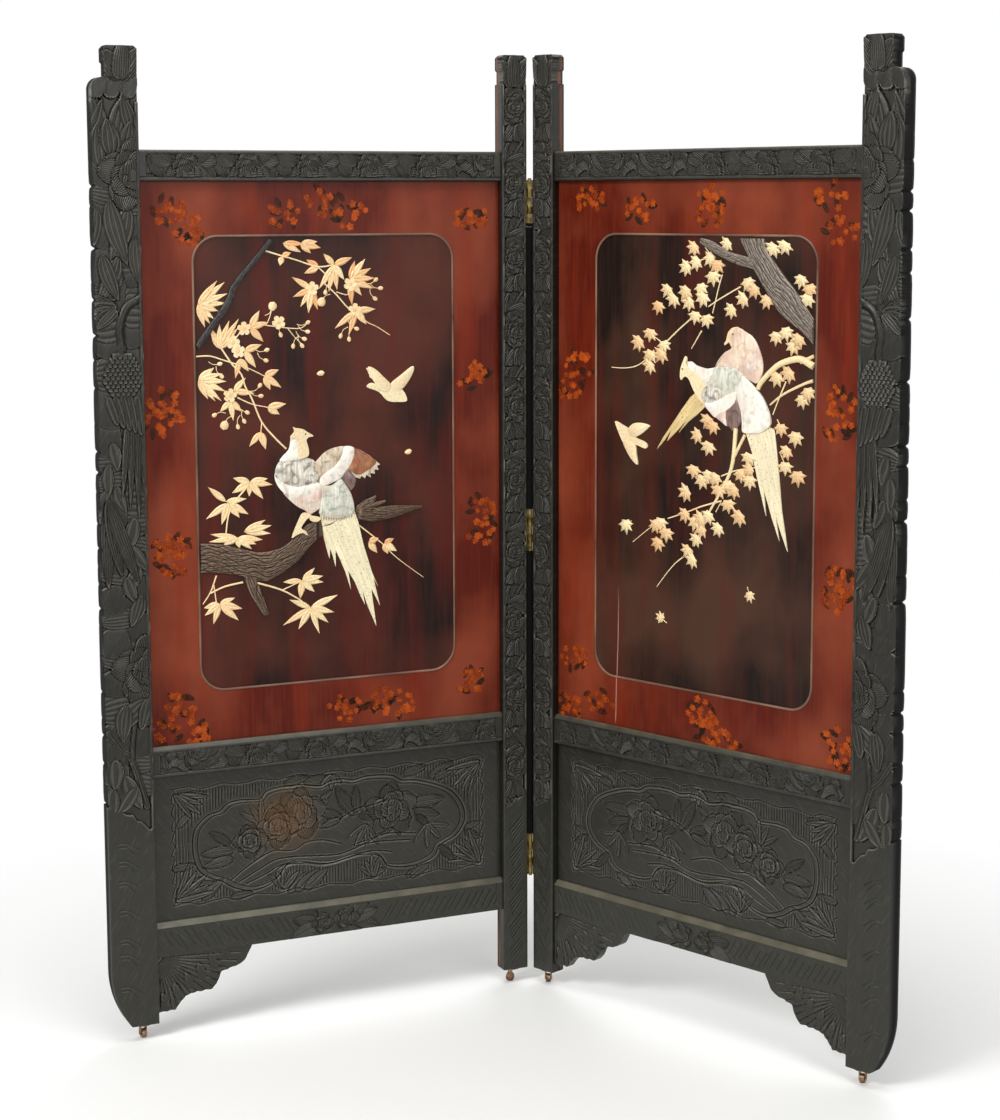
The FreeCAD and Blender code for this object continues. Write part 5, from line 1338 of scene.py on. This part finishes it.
stained_bone = {leaf: bone(f"stained_bone_{leaf}", side, "#fbe4b2", "#ecb078")
                for leaf, side in SIDES.items()}
for blank in (narrow_leaf, bud_blank, flower_blank, heart_blank):
    blank.data.materials.append(stained_bone["left"])
maple_blank.data.materials.append(stained_bone["right"])


def twig(leaf, points, start, end, lift=0.6):
    """Lay a thin twig along points, thinner towards its tip."""
    line = through(points, 4)
    radii = np.linspace(start, end, len(line))
    piece = rod_along("twig", line, -lift, radii)
    piece.data.materials.append(stained_bone[leaf])
    return piece


def spray(root, tips, wide, dice, stain):
    """Lay leaves from one root to each of its tips."""
    return [blade(narrow_leaf, root, tip, wide * dice.uniform(0.85, 1.1), dice.uniform(0, 0.6),
                  stain * dice.random()) for tip in tips]


def blossom(x, z, size, dice):
    """Lay an open five-petal flower with its heart."""
    return [set_copy(flower_blank, x, z, size, size, dice.uniform(0, 72), 0.5, 0.1 * dice.random()),
            set_copy(heart_blank, x, z, size * 0.28, size * 0.28, 0, 0.3, 0.45)]


bamboo = [
    ((92, 356), ((62, 365), (60, 339), (90, 332), (115, 326), (132, 350), (124, 361))),
    ((48, 325), ((17, 352), (85, 328))), ((53, 322), ((13, 297), (40, 286), (72, 296), (88, 301))),
    ((80, 271), ((118, 289), (129, 279), (128, 265))),
    ((68, 261), ((20, 270), (17, 257), (42, 250), (71, 243), (93, 240), (101, 248), (113, 255))),
    ((34, 148), ((61, 157), (74, 137), (67, 117), (22, 114), (7, 130), (6, 143))),
    ((184, 178), ((149, 178), (180, 147), (206, 157), (223, 173), (222, 184), (207, 199))),
    ((199, 129), ((148, 102), (176, 93), (214, 82), (231, 100), (242, 118), (249, 148), (160, 146))),
]
blossom_leaves = [
    ((5, 662), ((40, 702), (53, 699), (58, 680), (56, 664), (41, 651), (33, 638), (26, 630), (17, 624))),
    ((42, 587), ((28, 622), (43, 628), (60, 634), (77, 637), (75, 621), (68, 608))),
    ((97, 621), ((114, 650), (130, 630), (120, 597))), ((86, 582), ((117, 592), (106, 553))),
    ((78, 569), ((69, 536), (93, 547))), ((121, 538), ((147, 548), (151, 517), (131, 514))),
    ((4, 535), ((32, 555), (46, 545), (53, 531), (52, 514), (44, 498), (33, 498), (20, 502))),
    ((66, 514), ((87, 536), (103, 509))), ((60, 497), ((41, 480), (64, 464), (79, 479))),
    ((126, 484), ((159, 489), (147, 471))), ((113, 442), ((92, 418), (121, 412))),
    ((156, 741), ((152, 726), (172, 748))), ((158, 764), ((196, 762), (190, 748))),
    ((190, 763), ((220, 766), (226, 755), (208, 746))), ((222, 722), ((200, 735), (196, 712))),
    ((209, 685), ((173, 706), (175, 672), (188, 655), (202, 644), (219, 649))),
    ((250, 726), ((231, 745), (283, 738), (222, 685), (240, 680), (255, 683), (268, 700))),
    ((279, 700), ((288, 732), (307, 735), (318, 719), (325, 702), (322, 684), (300, 672), (282, 656))),
    ((290, 646), ((325, 648), (308, 622), (250, 616), (276, 605))), ((309, 239), ((324, 218), (327, 244))),
    ((338, 234), ((356, 242), (361, 219), (344, 215))),
]
flowers = [(86, 620), (66, 597), (75, 582), (148, 629), (59, 507), (209, 686), (279, 692), (287, 647)]
bud_stem = ((19, 24), (11, 8), (2, 0))
LEAF_WIDE, FLOWER_REACH = 12, 12
half_flowers = [(49, 458, 200), (137, 655, 20), (227, 664, 210)]
buds = [(112, 521, 40), (113, 504, 90), (32, 475, 240), (88, 477, 110), (72, 454, 170), (83, 463, 150),
        (125, 582, 70), (123, 565, 110), (41, 561, 80), (44, 541, 130), (200, 627, 60), (199, 612, 100),
        (193, 600, 110), (189, 589, 140), (174, 589, 190), (151, 609, 160), (326, 698, 50), (334, 684, 90),
        (324, 667, 130), (289, 615, 110), (261, 604, 200), (276, 598, 175), (234, 680, 190)]
left_twigs = [
    (((28, 613), (45, 588), (64, 560), (80, 542), (87, 520), (98, 500), (115, 459), (138, 431), (158, 411)),
     1.6, 1.6),
    (((1, 575), (25, 575), (47, 568), (65, 562), (93, 552), (121, 538)), 1.4, 0.9),
    (((72, 503), (97, 491), (126, 484)), 1.3, 0.8), (((115, 459), (113, 442)), 1.2, 0.9),
    (((66, 597), (86, 620), (110, 626), (129, 624), (164, 619), (187, 618), (200, 626)), 1.2, 0.7),
    (((164, 619), (176, 604), (188, 592)), 0.9, 0.6), (((137, 655), (132, 638), (126, 625)), 0.9, 0.8),
    (((127, 751), (150, 744), (178, 736), (220, 723), (249, 726)), 1.5, 1.2),
    (((232, 694), (254, 674), (275, 651), (290, 646), (308, 627), (328, 617), (352, 602)), 1.4, 0.7),
    (((220, 723), (238, 705), (232, 694)), 1.2, 1.2), (((254, 679), (275, 674), (281, 690)), 1.0, 0.8),
    (((88, 350), (56, 311), (47, 266)), 1.5, 1.3), (((29, 198), (18, 170), (4, 150)), 1.5, 0.8),
    (((18, 168), (44, 178), (76, 183)), 1.5, 1.7), (((24, 182), (28, 150)), 1.2, 1.0),
    (((102, 180), (147, 164), (183, 142)), 1.9, 1.2), (((147, 164), (184, 178)), 1.0, 0.9),
    (((291, 269), (334, 234), (361, 207), (412, 168)), 1.3, 0.5),
]
dice = random.Random(5)
left_cut = [piece for root, tips in bamboo for piece in spray(root, tips, LEAF_WIDE, dice, 0.25)]
left_cut += [piece for root, tips in blossom_leaves
             for piece in spray(root, tips, LEAF_WIDE, dice, 1.0 if root[0] > 150 else 0.55)]
left_cut += [piece for x, z in flowers for piece in blossom(x, z, FLOWER_REACH, dice)]
left_cut += [set_copy(bud_blank, *off(x, z, -7, turn), 17, 15, turn, 0.3, 0.15)
             for x, z, turn in half_flowers]
left_cut += [set_copy(bud_blank, *off(x, z, -4, turn), 10, 7, turn, 0.2, 0.4 * dice.random())
             for x, z, turn in buds]
left_cut += [set_copy(bud_blank, x, z, 14, 9, turn, 0, 0.05)
             for x, z, turn in ((216, 538, 80), (378, 393, 75))]
left_cut += [twig("left", points, start, end) for points, start, end in left_twigs]
left_cut += [twig("left", [off(x, z, -reach, turn + curl) for reach, curl in bud_stem], 0.7, 0.5)
             for x, z, turn in buds + half_flowers]
lay_in(joined("left_foliage_sawn", left_cut), "left", "bone", "left_foliage_inlay")

maples = [
    (217, 757), (222, 733), (201, 724), (252, 740), (266, 729), (258, 710), (160, 685), (173, 670),
    (200, 683), (232, 690), (207, 666), (237, 674), (140, 657), (220, 643), (245, 638), (96, 594),
    (122, 610), (152, 591), (123, 573), (121, 555), (147, 575), (287, 764), (382, 758), (406, 762),
    (439, 708), (456, 694), (452, 677), (371, 673), (331, 701), (345, 690), (322, 674), (298, 655),
    (390, 615), (410, 623), (425, 600), (436, 612), (393, 548), (417, 556), (444, 515), (456, 527),
    (402, 465), (432, 453), (415, 428), (412, 403), (437, 389), (261, 460), (250, 468), (228, 441),
    (251, 424), (337, 412), (339, 392), (339, 374), (320, 383), (220, 382), (238, 366), (252, 375),
    (267, 372), (204, 342), (274, 352), (292, 362), (306, 355), (294, 330), (319, 311), (253, 306),
    (224, 293), (236, 300), (202, 304), (147, 285), (160, 268), (137, 279), (142, 249), (274, 287),
    (227, 264), (209, 242), (219, 227), (238, 282), (68, 274),
]
loose_maples = [(150, 116, 300), (341, 180, 160)]
right_twigs = [
    (((34, 546), (62, 546), (90, 551), (113, 564), (130, 580)), 0.7, 1.3),
    (((152, 591), (184, 617), (210, 636)), 1.4, 1.3), (((212, 586), (234, 617)), 0.8, 1.3),
    (((257, 647), (270, 692), (277, 712)), 0.9, 1.1), (((316, 693), (273, 672), (248, 658)), 1.3, 1.1),
    (((152, 591), (122, 608)), 1.0, 0.8), (((222, 733), (250, 742), (240, 756)), 0.9, 0.9),
    (((354, 526), (363, 540), (393, 566), (423, 577), (443, 578), (466, 568)), 4, 6.5),
    (((440, 574), (466, 585)), 3.5, 3), (((379, 501), (406, 520), (447, 539), (465, 545)), 1.4, 3.0),
    (((385, 485), (397, 512), (411, 541)), 0.9, 1.4),
    (((309, 458), (303, 400), (288, 364), (256, 315)), 4.2, 2.0), (((328, 448), (305, 408)), 2.8, 2.6),
    (((351, 395), (311, 387), (279, 375)), 1.0, 1.3),
    (((280, 333), (238, 320), (200, 305), (163, 292)), 1.6, 1.0), (((280, 333), (268, 313)), 0.9, 0.8),
    (((219, 240), (197, 228), (172, 208), (139, 170)), 1.3, 0.7),
    (((147, 285), (122, 271), (84, 243)), 1.0, 0.6), (((256, 315), (240, 286), (222, 250)), 1.6, 1.1),
    (((402, 465), (394, 478)), 0.9, 1.0), (((412, 403), (400, 425)), 0.8, 1),
]
right_cut = [set_copy(maple_blank, x, z, dice.uniform(15, 18), dice.uniform(17, 21), dice.uniform(165, 245),
                      dice.uniform(0, 0.9), 0.6 * dice.random() ** 1.5) for x, z in maples]
right_cut += [set_copy(maple_blank, x, z, 13, 13, turn, 0, 0.1) for x, z, turn in loose_maples]
right_cut += [twig("right", [(x, z), off(x, z, -14, turn)], 0.7, 0.7)
              for x, z, turn in loose_maples + [(68, 274, 245)]]
right_cut += [twig("right", points, start, end, 0.8) for points, start, end in right_twigs]
lay_in(joined("right_foliage_sawn", right_cut), "right", "bone", "right_foliage_inlay")
for blank in (feather_blank, eye_blank, narrow_leaf, bud_blank, flower_blank, heart_blank, maple_blank):
    bpy.data.objects.remove(blank)

# Hinges and casters
# Three brass butt hinges let into the inner stiles, and four small copper-brass casters under the feet.
# Both are tarnished in the hollows and rubbed bright where they are touched.


def worn_brass(name, bright, tarnish):
    """Old brass: rubbed bright in patches, brown with tarnish elsewhere, finely scratched."""
    material, add = new_material(name, Metallic=1)
    place = add("TexCoord", out="Object")
    patch = add("TexNoise", {"Vector": place, "Scale": 1000 / 9, "Detail": 4})
    scratch = add("TexNoise", {"Vector": place, "Scale": 1000, "Detail": 2})
    share = add("MapRange", {"Value": patch, "From Min": 0.35, "From Max": 0.65})
    colour = add("Mix", {0: share, 6: bright, 7: tarnish}, data_type="RGBA", out=2)
    gloss = add("MapRange", {"Value": patch, "To Min": 0.25, "To Max": 0.6})
    bump = add("Bump", {"Height": scratch, "Strength": 0.1, "Distance": 0.0002})
    return wired(material, Base_Color=colour, Roughness=gloss, Normal=bump)


def black_felt():
    """Pressed wool felt: matt black with a faint fuzz."""
    material, add = new_material("black_felt_strip", Roughness=0.95, Specular_IOR_Level=0.1)
    place = add("TexCoord", out="Object")
    fuzz = add("TexNoise", {"Vector": place, "Scale": 1000 / 1.5, "Detail": 4})
    colour = add("Mix", {0: fuzz, 6: "#050505", 7: "#0d0c0b"}, data_type="RGBA", out=2)
    bump = add("Bump", {"Height": fuzz, "Strength": 0.4, "Distance": 0.0004})
    return wired(material, Base_Color=colour, Normal=bump)


finishes = {"hinge": worn_brass("tarnished_hinge_brass", "#8f7b4a", "#4a3d24"),
            "caster": worn_brass("coppery_caster_brass", "#a3866a", "#5a4436"), "draught": black_felt()}
for name, metal in frame["nodes"].items():
    for kind, finish in finishes.items():
        if kind in name:
            metal.data.materials.clear()
            metal.data.materials.append(finish)

# Draught felt
# Lips of black felt glued along the hinge edges of the inner stiles, behind the draught beads and hinges.
# The right one runs through; the left ones are short, behind the hinges. Washers close the beads' ends.
LIP_GAP, LIP_ROUND = 0.3, 1.0
LIP_FRONT, LIP_BACK = 2.2, 7
LIP_SPANS = {"left": ((204, 289.5), (803.5, 892.5), (1392.5, 1475)), "right": ((204, 1475),)}
WASHERS = (286.5, 806.5, 889.5, 1395.5)
WASHER_RADIUS, WASHER_HIGH, WASHER_THICK = 4.5, 6.6, 1.0

for leaf, side in SIDES.items():
    lips = []
    for low, high in LIP_SPANS[leaf]:
        bpy.ops.object.select_all(action="DESELECT")
        bpy.ops.mesh.primitive_cube_add(size=1)
        piece = bpy.context.object
        size = (HINGE_EDGE - LIP_GAP, LIP_BACK - LIP_FRONT, high - low)
        middle = (side * (HINGE_EDGE + LIP_GAP) / 2, (LIP_FRONT + LIP_BACK) / 2, (low + high) / 2)
        piece.data.transform(Matrix.Translation(middle) @ Matrix.Diagonal((*size, 1)))
        bpy.ops.object.mode_set(mode="EDIT")
        bpy.ops.mesh.select_all(action="SELECT")
        bpy.ops.mesh.bevel(offset=LIP_ROUND, segments=3, affect="EDGES")
        bpy.ops.object.mode_set(mode="OBJECT")
        piece.data.materials.append(finishes["draught"])
        lips.append(piece)
    for height in WASHERS if leaf == "left" else ():
        bpy.ops.object.select_all(action="DESELECT")
        bpy.ops.mesh.primitive_cylinder_add(radius=WASHER_RADIUS, depth=WASHER_HIGH, end_fill_type="NOTHING",
                                            location=(0, -PIVOT_PROUD, height))
        bpy.ops.object.transform_apply(location=True)
        bpy.ops.object.modifier_add(type="SOLIDIFY")
        bpy.context.object.modifiers[0].thickness = WASHER_THICK
        bpy.ops.object.modifier_apply(modifier=bpy.context.object.modifiers[0].name)
        bpy.context.object.data.materials.append(finishes["draught"])
        lips.append(bpy.context.object)
    stand(joined(f"{leaf}_draught_lip", lips), leaf, "black_felt")

# Studio
# A plain pale floor and a white surround, lit by large soft lamps from the front and both sides.
# The camera stands where the screen is seen a little from its right and from above its middle.
SURROUND_LIGHT = 0.35


def seen_plainly(add):
    """Tell the rays that show the surround itself from those that light the object."""
    rays = add("LightPath", out=None).outputs
    direct = add("Math", {0: rays["Is Camera Ray"], 1: rays["Is Glossy Ray"]}, operation="MAXIMUM")
    return add("Math", {0: direct, 1: rays["Is Transmission Ray"]}, operation="MAXIMUM")


bpy.ops.object.select_all(action="DESELECT")
bpy.ops.mesh.primitive_plane_add(size=12, location=(0, 0, 0))
floor = bpy.context.object
floor.name = "studio_floor"
# Matt white paint: barely mottled near the screen, and lost in the white of the surround further out.
floor_paint, add = new_material("studio_floor_paint", Roughness=0.7)
grain = add("TexNoise", {"Scale": 3, "Detail": 2})
wired(floor_paint, Base_Color=add("Mix", {0: grain, 6: "#f4f4f2", 7: "#fafaf8"}, data_type="RGBA", out=2))
away = add("VectorMath", {0: add("TexCoord", out="Object")}, operation="LENGTH", out="Value")
fade = add("MapRange", {"Value": away, "From Min": 0.7, "From Max": 1.5})
share = add("Math", {0: fade, 1: seen_plainly(add)}, operation="MULTIPLY")
white = add("Emission", {"Color": (1, 1, 1, 1), "Strength": 1})
parts = floor_paint.node_tree.nodes
mixed = add("MixShader", {0: share, 1: parts["Principled BSDF"].outputs["BSDF"], 2: white})
floor_paint.node_tree.links.new(mixed, parts["Material Output"].inputs["Surface"])
floor.data.materials.append(floor_paint)

world = bpy.data.worlds.new("studio_surround")
bpy.context.scene.world = world
world.use_nodes = True
add = partial(node, world.node_tree)
level = add("MapRange", {"Value": seen_plainly(add), "To Min": SURROUND_LIGHT, "To Max": 1})
surround = world.node_tree.nodes["Background"]
surround.inputs["Color"].default_value = (1, 1, 1, 1)
world.node_tree.links.new(level, surround.inputs["Strength"])

for name, place, aim, size, power in (("key_lamp", (-2.4, -3.4, 3.6), (0, 0, 0.9), 1.5, 140),
                                      ("fill_lamp", (3.0, -3.0, 2.2), (0, 0, 0.8), 2.6, 50),
                                      ("top_lamp", (0.2, -0.6, 3.8), (0, 0.1, 0.8), 2.0, 50),
                                      ("back_lamp", (0.4, 3.4, 2.6), (0, 0, 0.9), 2.4, 50)):
    bpy.ops.object.light_add(type="AREA", location=place)
    lamp = bpy.context.object
    lamp.name = name
    lamp.data.size = size
    lamp.data.energy = power
    lamp.rotation_euler = (Vector(aim) - Vector(place)).to_track_quat("-Z", "Y").to_euler()

bpy.ops.object.camera_add(location=(0.65048, -3.78705, 1.44113),
                          rotation=[math.radians(turn) for turn in (82.416, 0.167, 9.995)])
camera = bpy.context.object
camera.name = "photo_camera"
camera.data.lens = 72.624
camera.data.sensor_width = 36
camera.data.shift_y = -0.05357
bpy.context.scene.camera = camera
bpy.context.scene.view_settings.view_transform = "Standard"
